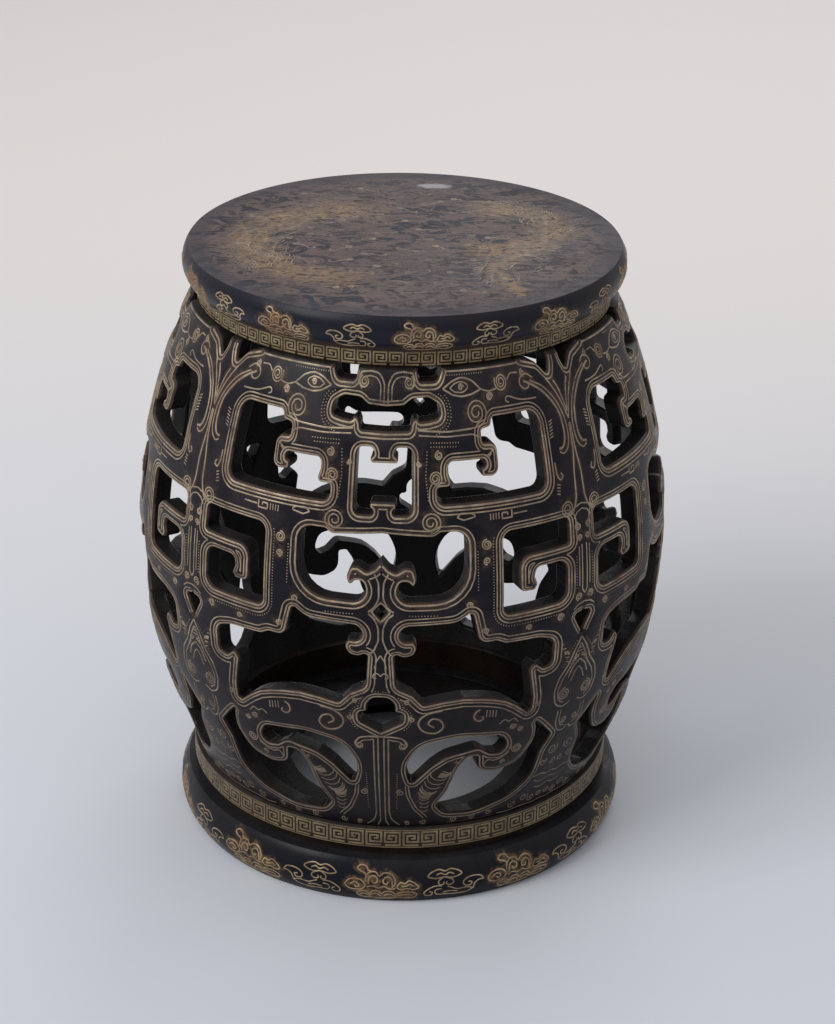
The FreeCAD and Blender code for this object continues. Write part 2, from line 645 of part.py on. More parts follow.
# Seat panel: a round board, flush with the rim, that floats by its tongue in the rim's groove
panel = doc.addObject("PartDesign::Body", "seat_panel")
PANEL_SIDE = PANEL_EDGE + " - glue_gap"
TONGUE_TOP = SEAT_TOP + " - panel_lip - glue_gap"
revolve(panel, [
    ("", PANEL_UNDERSIDE),
    (PANEL_SIDE, PANEL_UNDERSIDE),
    (PANEL_SIDE, GROOVE_FLOOR),
    (PANEL_EDGE + " + panel_tongue_reach", GROOVE_FLOOR),
    (PANEL_EDGE + " + panel_tongue_reach", TONGUE_TOP),
    (PANEL_SIDE, TONGUE_TOP),
    (PANEL_SIDE, SEAT_TOP),
    ("", SEAT_TOP),
], "360")
for side, place in (("front", BATTEN_SIDE), ("back", "Sizes.batten_spacing / 2 - Sizes.batten_width / 2")):
    slot = new_sketch(panel, f"{side}_dovetail", "YZ_Plane")
    slot.setExpression("AttachmentOffset.Base.x", place + " - Sizes.glue_gap")
    draw(slot, [
        ("batten_cheek", PANEL_UNDERSIDE + " - end_room"),
        ("batten_width - batten_cheek + glue_gap + glue_gap", PANEL_UNDERSIDE + " - end_room"),
        ("batten_width - batten_cheek + glue_gap + glue_gap", PANEL_UNDERSIDE),
        ("batten_width + glue_gap + glue_gap", DOVETAIL_TOP + " + glue_gap"),
        ("", DOVETAIL_TOP + " + glue_gap"),
        ("batten_cheek", PANEL_UNDERSIDE),
    ])
    cut_through(panel, slot)
nodes.append(panel)

doc.recompute()

# Nothing is written unless every object is sound and every cut took something away
for item in doc.Objects:
    if "Invalid" in item.State or "Error" in item.State:
        raise RuntimeError(f"{item.Name} did not build: {item.State}")
    if item.isDerivedFrom("PartDesign::Pocket"):
        before = item.BaseFeature.Shape.Volume
        if item.Shape.Volume > before - TINY:
            raise RuntimeError(f"{item.Name} cuts nothing")
os.makedirs("parts", exist_ok=True)
for node in nodes:
    if node.Shape.isNull() or not node.Shape.isValid():
        raise RuntimeError(f"{node.Label} is not a sound solid")
for node in nodes:
    node.Shape.exportStep(f"parts/{node.Label}.step")
    print(node.Label, len(node.Shape.Solids), round(node.Shape.Volume / 1000, 1), "cm3")
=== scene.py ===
import math

import bpy
import numpy as np
from mathutils import Matrix, Vector
from mathutils.geometry import interpolate_bezier
from mathutils.kdtree import KDTree


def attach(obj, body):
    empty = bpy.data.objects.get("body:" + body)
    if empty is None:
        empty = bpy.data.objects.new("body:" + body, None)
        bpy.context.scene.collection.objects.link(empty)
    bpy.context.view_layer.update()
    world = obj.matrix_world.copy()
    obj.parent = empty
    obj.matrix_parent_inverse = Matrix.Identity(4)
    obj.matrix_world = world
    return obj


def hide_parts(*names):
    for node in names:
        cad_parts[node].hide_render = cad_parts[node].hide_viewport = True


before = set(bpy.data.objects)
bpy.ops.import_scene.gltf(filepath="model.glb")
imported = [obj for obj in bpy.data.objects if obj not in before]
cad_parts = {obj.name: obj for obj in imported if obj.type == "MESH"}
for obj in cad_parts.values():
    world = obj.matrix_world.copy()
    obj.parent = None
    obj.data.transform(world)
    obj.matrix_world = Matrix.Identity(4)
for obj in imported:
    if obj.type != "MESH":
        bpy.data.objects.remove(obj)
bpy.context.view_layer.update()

# Plinth: the ring that the stool stands on, sawn in four segments, turned to a rounded edge and
# coated with black lacquer. The lacquer runs over the joints, so it shows as one ring.
MM = 0.001
FRONT = -math.pi / 2
ARC_STEP = math.radians(15)
PLINTH_HEIGHT = 36
PLINTH_EDGE = 170
PLINTH_INSIDE = 120
PLINTH_ROUND = 29
BOARD_REBATE = (128, 25)
SOFT_CORNER = 0.8
RING_STEPS = 384
BOW_STEPS = 16


def rounded(corners, closed=True):
    """Points along an outline whose corners (x, y, radius) are rounded off as arcs."""
    points = []
    ends = (0, len(corners) - 1)
    for index, (x, y, radius) in enumerate(corners):
        corner = Vector((x, y))
        if radius == 0 or (not closed and index in ends):
            points.append(corner)
            continue
        back = Vector(corners[index - 1][:2]) - corner
        ahead = Vector(corners[(index + 1) % len(corners)][:2]) - corner
        half = back.angle(ahead) / 2
        if math.pi / 2 - half < 0.01:
            points.append(corner)
            continue
        reach = min(radius / math.tan(half), back.length / 2, ahead.length / 2)
        inward = (back.normalized() + ahead.normalized()).normalized()
        centre = corner + inward * reach / math.cos(half)
        spoke = corner + back.normalized() * reach - centre
        turn = math.pi - 2 * half
        if back.cross(ahead) > 0:
            turn = -turn
        steps = max(2, math.ceil(abs(turn) / ARC_STEP))
        for step in range(steps + 1):
            points.append(centre + Matrix.Rotation(turn * step / steps, 2) @ spoke)
    return points


def bowed(foot, top, round_radius):
    """Outer radius at a height, for an edge that bows out between two ends (radius, height)."""
    foot, top = Vector(foot), Vector(top)
    chord = top - foot
    outward = Vector((chord.y, -chord.x)).normalized()
    depth = math.sqrt(round_radius ** 2 - chord.length_squared / 4)
    centre = (foot + top) / 2 - outward * depth
    return lambda height: centre.x + np.sqrt(round_radius ** 2 - (height - centre.y) ** 2)


def take_up(piece):
    """Make a piece the one that is in hand."""
    bpy.ops.object.select_all(action="DESELECT")
    bpy.context.view_layer.objects.active = piece
    piece.select_set(True)


def finish_mesh():
    """Merge doubles on the piece in hand and turn every face outwards."""
    bpy.ops.object.mode_set(mode="EDIT")
    bpy.ops.mesh.select_all(action="SELECT")
    bpy.ops.mesh.remove_doubles(threshold=0.002 * MM)
    bpy.ops.mesh.normals_make_consistent(inside=False)
    bpy.ops.object.mode_set(mode="OBJECT")


def turned(name, profile):
    """Ring turned on the drum's axis from a closed profile of points (radius, height) in mm."""
    bpy.ops.object.select_all(action="DESELECT")
    bpy.ops.mesh.primitive_plane_add(size=MM)
    piece = bpy.context.object
    piece.name = name
    piece.data.name = name
    bpy.ops.object.mode_set(mode="EDIT")
    bpy.ops.mesh.merge(type="CENTER")
    start = Vector((profile[0][0], 0, profile[0][1])) * MM
    bpy.ops.transform.translate(value=start)
    for (radius, height), (after, level) in zip(profile, profile[1:] + profile[:1]):
        move = Vector((after - radius, 0, level - height)) * MM
        bpy.ops.mesh.extrude_vertices_move(TRANSFORM_OT_translate={"value": move})
    bpy.ops.mesh.select_all(action="SELECT")
    bpy.ops.mesh.spin(steps=RING_STEPS, angle=2 * math.pi, center=(0, 0, 0), axis=(0, 0, 1))
    bpy.ops.object.mode_set(mode="OBJECT")
    finish_mesh()
    bpy.ops.object.shade_smooth_by_angle(angle=math.radians(35))
    return piece


def shader_node(tree, kind, inputs=(), **settings):
    """Add a shader node. Its inputs are plain values or the outputs of other nodes."""
    node = tree.nodes.new("ShaderNode" + kind)
    for key, value in settings.items():
        setattr(node, key, value)
    for key, value in dict(inputs).items():
        if isinstance(value, bpy.types.NodeSocket):
            tree.links.new(value, node.inputs[key])
        else:
            node.inputs[key].default_value = value
    return node


def noise(tree, coordinates, scale, detail=4.0, roughness=0.55, distortion=0.0):
    """Cloudy value."""
    inputs = {
        "Vector": coordinates, "Scale": scale, "Detail": detail,
        "Roughness": roughness, "Distortion": distortion,
    }
    return shader_node(tree, "TexNoise", inputs).outputs["Fac"]


def ramp(tree, value, low, high, bottom=0.0, top=1.0):
    """Smooth step of a value from bottom at low to top at high."""
    inputs = {"Value": value, 1: low, 2: high, 3: bottom, 4: top}
    node = shader_node(tree, "MapRange", inputs, interpolation_type="SMOOTHSTEP", clamp=True)
    return node.outputs["Result"]


def maths(tree, operation, first, second=0.0):
    """One sum on two values."""
    return shader_node(tree, "Math", {0: first, 1: second}, operation=operation).outputs[0]


def blend(tree, factor, first, second):
    """Mix of two colours."""
    inputs = {0: factor, 6: first, 7: second}
    return shader_node(tree, "Mix", inputs, data_type="RGBA").outputs[2]


def new_group(name, inputs, outputs):
    """Empty shader node group with number sockets, and its two end nodes."""
    group = bpy.data.node_groups.new(name, "ShaderNodeTree")
    for socket in inputs:
        group.interface.new_socket(socket, in_out="INPUT", socket_type="NodeSocketFloat")
    for socket in outputs:
        group.interface.new_socket(socket, in_out="OUTPUT", socket_type="NodeSocketFloat")
    return group, group.nodes.new("NodeGroupInput"), group.nodes.new("NodeGroupOutput")


def new_material(name):
    """Material, its node tree and its shader."""
    material = bpy.data.materials.new(name)
    material.use_nodes = True
    tree = material.node_tree
    return material, tree, tree.nodes["Principled BSDF"]


# Aged lacquer, used by every coated piece: broad cloudy patches, fine speckle and a slow ripple
aged_lacquer, group_in, group_out = new_group(
    "Aged Lacquer", ("Patch Scale", "Speckle Scale"), ("Patches", "Speckle", "Ripple")
)
place = shader_node(aged_lacquer, "TexCoord").outputs["Object"]
patches = noise(aged_lacquer, place, group_in.outputs["Patch Scale"], 5.0, 0.6, 0.4)
speckle = noise(aged_lacquer, place, group_in.outputs["Speckle Scale"], 3.0, 0.7)
ripple = noise(aged_lacquer, place, 55.0, 2.0, 0.4)
aged_lacquer.links.new(ramp(aged_lacquer, patches, 0.42, 0.66), group_out.inputs["Patches"])
aged_lacquer.links.new(ramp(aged_lacquer, speckle, 0.5, 0.75), group_out.inputs["Speckle"])
aged_lacquer.links.new(ripple, group_out.inputs["Ripple"])

# Settled dust and painted sheen, used by every coated piece: it lies on faces that look up, in uneven
# patches. On the wall it is laid on thicker and also stands for painted sheen on those faces
dust_and_sheen, group_in, group_out = new_group("Dust And Sheen", ("Amount",), ("Dust",))
facing = shader_node(dust_and_sheen, "NewGeometry").outputs["Normal"]
upward = shader_node(dust_and_sheen, "SeparateXYZ", {"Vector": facing}).outputs["Z"]
place = shader_node(dust_and_sheen, "TexCoord").outputs["Object"]
uneven = noise(dust_and_sheen, place, 70.0, 6.0, 0.65)
lying = maths(dust_and_sheen, "MULTIPLY", ramp(dust_and_sheen, upward, 0.15, 1.0), uneven)
lying = maths(dust_and_sheen, "MULTIPLY", lying, group_in.outputs["Amount"])
dust_and_sheen.links.new(lying, group_out.inputs["Dust"])

# Gold dust, sprinkled on the wet lacquer where a piece's own attribute says so
gold_dust, group_in, group_out = new_group("Gold Dust", ("Grain Scale",), ("Gold",))
place = shader_node(gold_dust, "TexCoord").outputs["Object"]
sprinkled = shader_node(gold_dust, "Attribute", attribute_name="gold_dust").outputs["Fac"]
grains = noise(gold_dust, place, group_in.outputs["Grain Scale"], 5.0, 0.7, 0.3)
sprinkled = maths(gold_dust, "MULTIPLY", sprinkled, ramp(gold_dust, grains, 0.38, 0.62))
gold_dust.links.new(sprinkled, group_out.inputs["Gold"])


def group_node(tree, group, **values):
    """Outputs of a shared group with some of its sockets set."""
    node = tree.nodes.new("ShaderNodeGroup")
    node.node_tree = group
    for key, value in values.items():
        node.inputs[key.replace("_", " ").title()].default_value = value
    return node.outputs


DUST_AND_SHEEN = (0.30, 0.28, 0.27, 1)
DUSTED_GOLD = (0.20, 0.125, 0.055, 1)


def lacquer(name, ground, worn, gloss=(0.24, 0.5), dust=0.22, patch_scale=14.0, shine=0.15):
    """Lacquer of one ground colour that is rubbed to a second colour in patches."""
    material, tree, shader = new_material(name)
    age = group_node(tree, aged_lacquer, patch_scale=patch_scale, speckle_scale=420.0)
    rubbed = maths(tree, "MULTIPLY", age["Patches"], ramp(tree, age["Speckle"], 0.0, 1.0, 0.55, 1.0))
    colour = blend(tree, rubbed, ground, worn)
    colour = blend(tree, group_node(tree, gold_dust, grain_scale=260.0)["Gold"], colour, DUSTED_GOLD)
    colour = blend(tree, group_node(tree, dust_and_sheen, amount=dust)["Dust"], colour, DUST_AND_SHEEN)
    tree.links.new(colour, shader.inputs["Base Color"])
    sheen = maths(tree, "ADD", age["Patches"], age["Speckle"])
    tree.links.new(ramp(tree, sheen, 0.0, 1.6, *gloss), shader.inputs["Roughness"])
    shader.inputs["Specular IOR Level"].default_value = shine
    height = maths(tree, "ADD", age["Ripple"], maths(tree, "MULTIPLY", age["Speckle"], 0.15))
    bump = shader_node(tree, "Bump", {"Height": height, "Strength": 0.25, "Distance": 0.4 * MM})
    tree.links.new(bump.outputs["Normal"], shader.inputs["Normal"])
    return material, tree, shader


BLUE_BLACK = (0.0046, 0.0052, 0.0088, 1)
BROWN_BLACK = (0.015, 0.011, 0.011, 1)
black_lacquer = lacquer("black_lacquer", BLUE_BLACK, BROWN_BLACK, dust=0.1)[0]

plinth_edge = bowed((PLINTH_EDGE, 0), (PLINTH_EDGE, PLINTH_HEIGHT), PLINTH_ROUND)


def edge_run(edge, low, high):
    """Profile corners up a bowed edge."""
    heights = [low + (high - low) * step / BOW_STEPS for step in range(BOW_STEPS + 1)]
    return [(float(edge(height)), height, 0) for height in heights]


plinth_profile = rounded([
    (BOARD_REBATE[0], PLINTH_HEIGHT, SOFT_CORNER),
    (*BOARD_REBATE, 0),
    (PLINTH_INSIDE, BOARD_REBATE[1], SOFT_CORNER),
    (PLINTH_INSIDE, 0, SOFT_CORNER),
] + edge_run(plinth_edge, 0, PLINTH_HEIGHT))
plinth = turned("plinth_ring", plinth_profile)
plinth.data.materials.append(black_lacquer)
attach(plinth, "root")
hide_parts(*(f"plinth_{side}" for side in ("front", "right", "back", "left")))

# Plinth clouds: scrolling cloud banks in raised gold lacquer round the plinth's edge, a dense
# bank of curls and an outlined one in turn. Gold dust is sprinkled round the dense ones.
CLOUD_WIDTH = 1.05
CLOUD_HEIGHT = 0.35
CLOUD_PAIRS = 10
CLOUD_DUST = (2.5, 0.9)
LONGEST_STEP = 4.0
FLOW_STEPS = 5


def curl(x, y, radius, turns=1.6, start=0.0, hand=1):
    """Spiral from its outer end towards its middle, in mm. The start is an angle in degrees."""
    steps = max(8, round(16 * turns))
    points = []
    for step in range(steps + 1):
        share = step / steps
        reach = radius * (1 - 0.8 * share)
        angle = math.radians(start) + hand * 2 * math.pi * turns * share
        points.append(Vector((x + reach * math.cos(angle), y + reach * math.sin(angle))))
    return points


def dense(points, step, closed=True):
    """The same line with points no further apart than a step."""
    ends = points[1:] + points[:1] if closed else points[1:]
    spread = []
    for start, end in zip(points, ends):
        pieces = max(1, math.ceil((end - start).length / step))
        spread += [start.lerp(end, share / pieces) for share in range(pieces)]
    return spread if closed else spread + points[-1:]


def stroke(points, weight=1.0, closed=False):
    """One drawn line: its points in mm, how bold it is, and whether it closes on itself."""
    return points, weight, closed


def flowing(*spots, weight=1.0, closed=False):
    """Stroke that runs smoothly through spots (x, y)."""
    spots = [Vector(spot) for spot in spots]
    run = spots[-1:] + spots + spots[:2] if closed else spots[:1] + spots + spots[-1:]
    points = []
    for before, start, end, after in zip(run, run[1:], run[2:], run[3:]):
        leave, arrive = start + (end - before) / 6, end - (after - start) / 6
        points += interpolate_bezier(start, leave, arrive, end, FLOW_STEPS + 1)[:-1]
    return stroke(points if closed else points + spots[-1:], weight, closed)


def moved(line, x, y, scale=1.0, mirror=1):
    """The same stroke at another place and size."""
    points, weight, closed = line
    placed = [Vector((x + mirror * scale * point.x, y + scale * point.y)) for point in points]
    return stroke(placed, weight, closed)


def flat_curve(name, fill, depth):
    """Empty flat curve whose edge is rounded to a depth in mm."""
    curve = bpy.data.curves.new(name, "CURVE")
    curve.dimensions = "2D"
    curve.fill_mode = fill
    curve.bevel_depth = depth * MM
    return curve


def add_line(curve, points, weight=1.0, closed=True):
    """One run of points (x, y) in mm on a flat curve."""
    spline = curve.splines.new("POLY")
    spline.points.add(len(points) - 1)
    for spot, point in zip(spline.points, points):
        spot.co = (point[0] * MM, point[1] * MM, 0, 1)
        spot.radius = weight
    spline.use_cyclic_u = closed


def curve_to_mesh(curve):
    """Piece whose mesh is the curve's shape."""
    piece = bpy.data.objects.new(curve.name, curve)
    bpy.context.collection.objects.link(piece)
    take_up(piece)
    bpy.ops.object.convert(target="MESH")
    return bpy.context.object


def raised_lines(name, lines, width, height):
    """Low ridges along drawn lines on a flat sheet, as a mesh."""
    curve = flat_curve(name, "NONE", width / 2)
    curve.bevel_resolution = 0
    curve.use_fill_caps = True
    for points, weight, closed in lines:
        add_line(curve, dense(points, LONGEST_STEP, closed), weight, closed)
    piece = curve_to_mesh(curve)
    finish_mesh()
    piece.data.transform(Matrix.Diagonal((1, 1, 2 * height / width, 1)))
    bpy.ops.object.shade_smooth_by_angle(angle=math.radians(75))
    return piece


def wrap(piece, surface, around):
    """Roll a flat sheet round the drum: x runs round at a radius, y is height, z stands off."""
    flat = np.empty(len(piece.data.vertices) * 3)
    piece.data.vertices.foreach_get("co", flat)
    x, y, z = flat.reshape(-1, 3).T / MM
    angle = FRONT + x / around
    radius = surface(y) + z
    rolled = np.stack((radius * np.cos(angle), radius * np.sin(angle), y), axis=1)
    piece.data.vertices.foreach_set("co", (rolled * MM).ravel())
    piece.data.update()


# Worn gilding, used on every gilt piece: where the gold is rubbed thin, the coat under it shows
worn_gilding, group_in, group_out = new_group("Worn Gilding", ("Wear",), ("Gold", "Tone", "Tint"))
place = shader_node(worn_gilding, "TexCoord").outputs["Object"]
rub = noise(worn_gilding, place, 38.0, 6.0, 0.7, 0.5)
fleck = noise(worn_gilding, place, 650.0, 3.0, 0.6)
rub = maths(worn_gilding, "ADD", rub, maths(worn_gilding, "MULTIPLY", fleck, 0.35))
rub = maths(worn_gilding, "SUBTRACT", rub, group_in.outputs["Wear"])
worn_gilding.links.new(ramp(worn_gilding, rub, 0.0, 0.25), group_out.inputs["Gold"])
tone = noise(worn_gilding, place, 110.0, 4.0)
worn_gilding.links.new(ramp(worn_gilding, tone, 0.35, 0.65), group_out.inputs["Tone"])
tint = noise(worn_gilding, place, 24.0, 5.0, 0.6, 0.6)
worn_gilding.links.new(ramp(worn_gilding, tint, 0.5, 0.66), group_out.inputs["Tint"])


def gilding(name, bright, dull, tinted, bare, wear, metal=0.35):
    """Gold lacquer that shades between two golds and a tint, rubbed through to the coat below."""
    material, tree, shader = new_material(name)
    worn = group_node(tree, worn_gilding, wear=wear)
    gold = blend(tree, worn["Tone"], dull, bright)
    gold = blend(tree, maths(tree, "MULTIPLY", worn["Tint"], 0.7), gold, tinted)
    tree.links.new(blend(tree, worn["Gold"], bare, gold), shader.inputs["Base Color"])
    tree.links.new(maths(tree, "MULTIPLY", worn["Gold"], metal), shader.inputs["Metallic"])
    tree.links.new(ramp(tree, worn["Tone"], 0.0, 1.0, 0.6, 0.4), shader.inputs["Roughness"])
    bump = shader_node(tree, "Bump", {"Height": worn["Tone"], "Strength": 0.3, "Distance": 0.2 * MM})
    tree.links.new(bump.outputs["Normal"], shader.inputs["Normal"])
    return material


gold_clouds = gilding(
    "gold_clouds", (0.44, 0.33, 0.20, 1), (0.24, 0.165, 0.095, 1), (0.27, 0.125, 0.06, 1),
    (0.055, 0.036, 0.025, 1), 0.40,
)

DENSE_BANK = [
    # Left lobe and its hook
    flowing((-28, -1.4), (-25.2, 2.8), (-20.4, 4.2), (-15.2, 3), (-12.5, -1.4), (-15.6, -4.8),
            (-20.8, -5.6), (-25.6, -4.6), closed=True),
    flowing((-24.3, -1.2), (-21.2, 1.2), (-17.9, 0.2), (-17.4, -2.4), (-19.7, -3), (-20.6, -1.4)),
    # Wisp and middle lobes
    flowing((-11.7, 6), (-12.8, 9.2), (-15.8, 10.2), (-18.7, 12.2), (-16.3, 14.6), (-12, 14), (-10.6, 11.6),
            (-7.7, 10.4)),
    flowing((-12.3, 2.4), (-12, 6.8), (-9.1, 10), (-4.8, 10.4), (-1.8, 7.4), (1.6, 9.8), (6.1, 9.8),
            (9.6, 6.4), (10.2, 1.6), (7.7, -2.4)),
    flowing((-9.9, 0.2), (-9.8, 5), (-6.7, 7.6), (-3.5, 5.6), (-3.8, 2.2), (-6.6, 1.8), (-7.2, 4)),
    flowing((8, -0.6), (7.8, 4.6), (5, 7), (1.8, 5.4), (1.4, 2), (4, 1.2), (5, 3.4)),
    flowing((-11.2, -2.6), (-7.2, -1.2), (-2.4, -2.8), (1.6, -1.2), (5.6, -3.2), (10.4, -3)),
    # Right lobe and its inner line
    flowing((11.7, -1.8), (14.2, 2.6), (17.6, 1.8), (20.8, 4), (25.3, 1.8), (28, -2), (24, -3.8),
            (19.2, -2.6), (15.2, -4), closed=True),
    flowing((15.2, -0.6), (18.4, -0.6), (21.3, 1.2), (24.3, -0.8)),
    # Rolling foot
    flowing((-19.2, -9.6), (-16.5, -7), (-12, -6.7), (-9.4, -9), (-6.7, -5.8), (-2.4, -5.6), (-0.3, -8.6),
            (2.9, -5.8), (8, -6.2), (10.6, -9), (14.4, -6.8), (20.8, -6.2), (26.4, -8), (25.6, -11.4),
            (20, -13.2), (13.3, -12.2), (6.9, -13.4), (-1.9, -14), (-9.9, -13.2), (-16.3, -12.8),
            closed=True),
    flowing((-16.8, -10.2), (-13.3, -9.2), (-10.1, -11.2), (-6.7, -9), (-2.9, -9.2), (-0.8, -11.4)),
    flowing((1.6, -11.2), (4, -9), (7.5, -9.4), (10.4, -11.2), (14.4, -9.6), (20.5, -9.2), (23.2, -10.2)),
]
OUTLINED_BANK = [
    # Flat head, with its inner line, and the short stem
    flowing((-6, 7.2), (-2.6, 10.2), (2.6, 11.4), (7, 10.2), (11.6, 11.6), (17, 10), (20, 6.8), (14.6, 5),
            (7.6, 5.6), (0.6, 4.8), closed=True),
    flowing((0, 7.4), (3.4, 8.8), (6.8, 7.4), (10.4, 8.8), (14, 7.4)),
    flowing((5.2, 5), (1.6, 3.4), (0.4, 0.6), (3, -1.2), (6, -0.2), (5.6, 2)),
    flowing((9, 5), (12, 2.6), (11.4, -0.6), (8.4, -0.4), (8, 1.8)),
    # Foot and the arms on both sides
    flowing((-15.6, -7.8), (-10, -6), (-3, -6.4), (1.4, -4.4), (5, -2.6)),
    flowing((-15.6, -7.8), (-10.6, -10.8), (-2, -11.4), (6, -10.6), (12.6, -10.6)),
    flowing((-3, -8.8), (3, -7.6), (8.4, -8.4)),
    flowing((9.6, -2), (14.4, -1.6), (19.4, -3.8), (23, -7.6), (21.6, -10.8), (17.6, -10.6), (16.6, -7.8),
            (19, -6.8)),
    flowing((9.6, -4.8), (13.4, -5), (14.6, -8), (12.6, -10.6)),
    flowing((-23.6, -0.4), (-21, 2.8), (-15.6, 3.8), (-10, 2.6), (-7.2, -0.6), (-9, -4), (-13, -4.2),
            (-14, -1.6), (-11.2, -0.8)),
    flowing((-23.6, -0.4), (-19.2, -0.8), (-16.4, -3.6), (-15.6, -7.8)),
]


def cloud_banks(bank, first, around, level, pairs, scale, shift):
    """Strokes of one kind of bank at every other spot round a ring. The front of the ring meets a
    dense bank's middle, or a place as far aside as the shift says."""
    lines = []
    spacing = math.pi * around / pairs
    for spot in range(first, 2 * pairs, 2):
        mirror = -1 if spot % 4 == 3 else 1
        across = (spot - pairs + shift) * spacing
        lines += [moved(line, across, level, scale, mirror) for line in bank]
    return lines


def finder(points):
    """Function that gives the distance from a flat spot to the nearest of some points."""
    tree = KDTree(len(points))
    for index, point in enumerate(points):
        tree.insert((point.x, point.y, 0), index)
    tree.balance()
    return lambda x, y: tree.find((x, y, 0))[2]


def sprinkle(piece, lying, points, reach, strength):
    """Note on each vertex how much gold dust lies there, by its distance from the drawn points.
    Lying gives a vertex's place in the drawing, or nothing where no dust falls."""
    distance = finder(points)
    dust = piece.data.attributes.new("gold_dust", "FLOAT", "POINT")
    for vertex in piece.data.vertices:
        spot = lying(vertex.co)
        if spot is not None:
            near = distance(*spot) / reach
            dust.data[vertex.index].value = strength * max(0.0, 1 - near) ** 0.5


def cloud_ring(name, ring, surface, around, level, pairs, scale, shift=0.0):
    """Raised clouds round a ring, and the dust round them."""
    banks = cloud_banks(DENSE_BANK, 0, around, level, pairs, scale, shift)
    others = cloud_banks(OUTLINED_BANK, 1, around, level, pairs, scale, shift)
    piece = raised_lines(name, banks + others, CLOUD_WIDTH, CLOUD_HEIGHT)
    wrap(piece, surface, around)
    piece.data.materials.append(gold_clouds)
    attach(piece, "root")

    def unrolled(spot):
        swing = math.atan2(spot.y, spot.x) - FRONT
        return ((swing + math.pi) % (2 * math.pi) - math.pi) * around, spot.z / MM

    sprinkle(ring, unrolled, [point for line in banks for point in line[0]], *CLOUD_DUST)
    return piece


PLINTH_CLOUDS_AROUND = PLINTH_EDGE + 6
PLINTH_CLOUDS_LEVEL = 17.5
plinth_clouds = cloud_ring(
    "plinth_clouds", plinth, plinth_edge, PLINTH_CLOUDS_AROUND, PLINTH_CLOUDS_LEVEL, CLOUD_PAIRS, 1.0
)

# Base board: a thin board with a round hole that lies in the plinth's rebate. It is lacquered
# plain black, as is all of the inside.
inner_lacquer = lacquer(
    "inner_lacquer", (0.0085, 0.0070, 0.0068, 1), (0.016, 0.0125, 0.0115, 1), dust=0.06, shine=0.18
)[0]


def finish_node(name, material):
    """Give a carried-over piece its finish."""
    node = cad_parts[name]
    for held in node.material_slots:
        held.material = material


finish_node("base_board", inner_lacquer)

# Lower hoop: a turned ring of four tenoned segments under the wall, undercut at its foot. Its face
# is gilt with a key pattern whose thin grooves show the black coat below.
HOOP_FOOT = PLINTH_HEIGHT
WALL_FOOT = 60
LOWER_HOOP_EDGE = 165
LOWER_HOOP_INSIDE = 140
QUIRK_HEIGHT = 7.5
QUIRK_DEPTH = 5
SMALL_ROUND = 0.6
KEY_LINES = 10
KEY_SIDE = 8
KEY_COVER = 1.12
KEY_HEIGHT = 0.3
LOWER_KEYS = 74
KEY_TURNS = [(0, 0), (8, 0), (8, 8), (0, 8), (0, 2), (6, 2), (6, 6), (2, 6), (2, 4), (4, 4)]

lower_hoop = turned("lower_hoop_ring", rounded([
    (LOWER_HOOP_INSIDE, HOOP_FOOT, 0),
    (LOWER_HOOP_EDGE - QUIRK_DEPTH, HOOP_FOOT, 0),
    (LOWER_HOOP_EDGE - QUIRK_DEPTH, HOOP_FOOT + QUIRK_HEIGHT, 1.5),
    (LOWER_HOOP_EDGE, HOOP_FOOT + QUIRK_HEIGHT, SMALL_ROUND),
    (LOWER_HOOP_EDGE, WALL_FOOT, SMALL_ROUND),
    (LOWER_HOOP_INSIDE, WALL_FOOT, SMALL_ROUND),
]))
hoop_lacquer = lacquer("hoop_lacquer", (0.016, 0.011, 0.0085, 1), (0.04, 0.027, 0.019, 1), dust=0.15)[0]
lower_hoop.data.materials.append(hoop_lacquer)
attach(lower_hoop, "root")
QUARTERS = ("front_right", "back_right", "back_left", "front_left")
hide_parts(*(f"lower_hoop_{quarter}" for quarter in QUARTERS))

gold_key = gilding(
    "gold_key", (0.32, 0.236, 0.122, 1), (0.185, 0.13, 0.066, 1), (0.20, 0.118, 0.064, 1),
    (0.05, 0.034, 0.024, 1), 0.38,
)


def shaded_to_foot(tree, colour, foot_shade, amount):
    """Colour with painted shade that darkens it towards the drum's foot."""
    place = shader_node(tree, "TexCoord").outputs["Object"]
    height = shader_node(tree, "SeparateXYZ", {"Vector": place}).outputs["Z"]
    return blend(tree, ramp(tree, height, 0.30, 0.08, 0.0, amount), colour, foot_shade)


def shade_gilding_to_foot(material, foot_shade, amount):
    """Paint shade on a gilding, darker towards the drum's foot."""
    tree = material.node_tree
    golden = tree.nodes["Principled BSDF"].inputs["Base Color"]
    tree.links.new(shaded_to_foot(tree, golden.links[0].from_socket, foot_shade, amount), golden)


# Painted shade: the key pattern darkens towards the drum's foot
shade_gilding_to_foot(gold_key, (0.06, 0.043, 0.028, 1), 0.32)


def key_ring(name, radius, low, high, units):
    """Square spirals, each the mirror image of the last, between two border lines round a hoop."""
    pitch = 2 * math.pi * radius / units / KEY_LINES
    width = KEY_COVER * pitch
    middle = (low + high) / 2
    spiral = stroke([Vector((x - KEY_SIDE / 2, y - KEY_SIDE / 2)) for x, y in KEY_TURNS])
    lines = []
    for unit in range(units):
        left = (unit - units / 2 + 0.5) * KEY_LINES * pitch
        lines.append(moved(spiral, left, middle, pitch, mirror=1 if unit % 2 else -1))
    slim = high - middle - KEY_SIDE / 2 * pitch - width / 2 - 0.6
    if slim > 0.6:
        half_round = math.pi * radius
        for level in (low + slim / 2, high - slim / 2):
            border = [Vector((-half_round, level)), Vector((half_round, level))]
            lines.append(stroke(border, slim / width))
    piece = raised_lines(name, lines, width, KEY_HEIGHT)
    wrap(piece, lambda height: radius, radius)
    piece.data.materials.append(gold_key)
    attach(piece, "root")


key_ring("lower_hoop_key", LOWER_HOOP_EDGE, HOOP_FOOT + QUIRK_HEIGHT + 0.4, WALL_FOOT - 0.6, LOWER_KEYS)

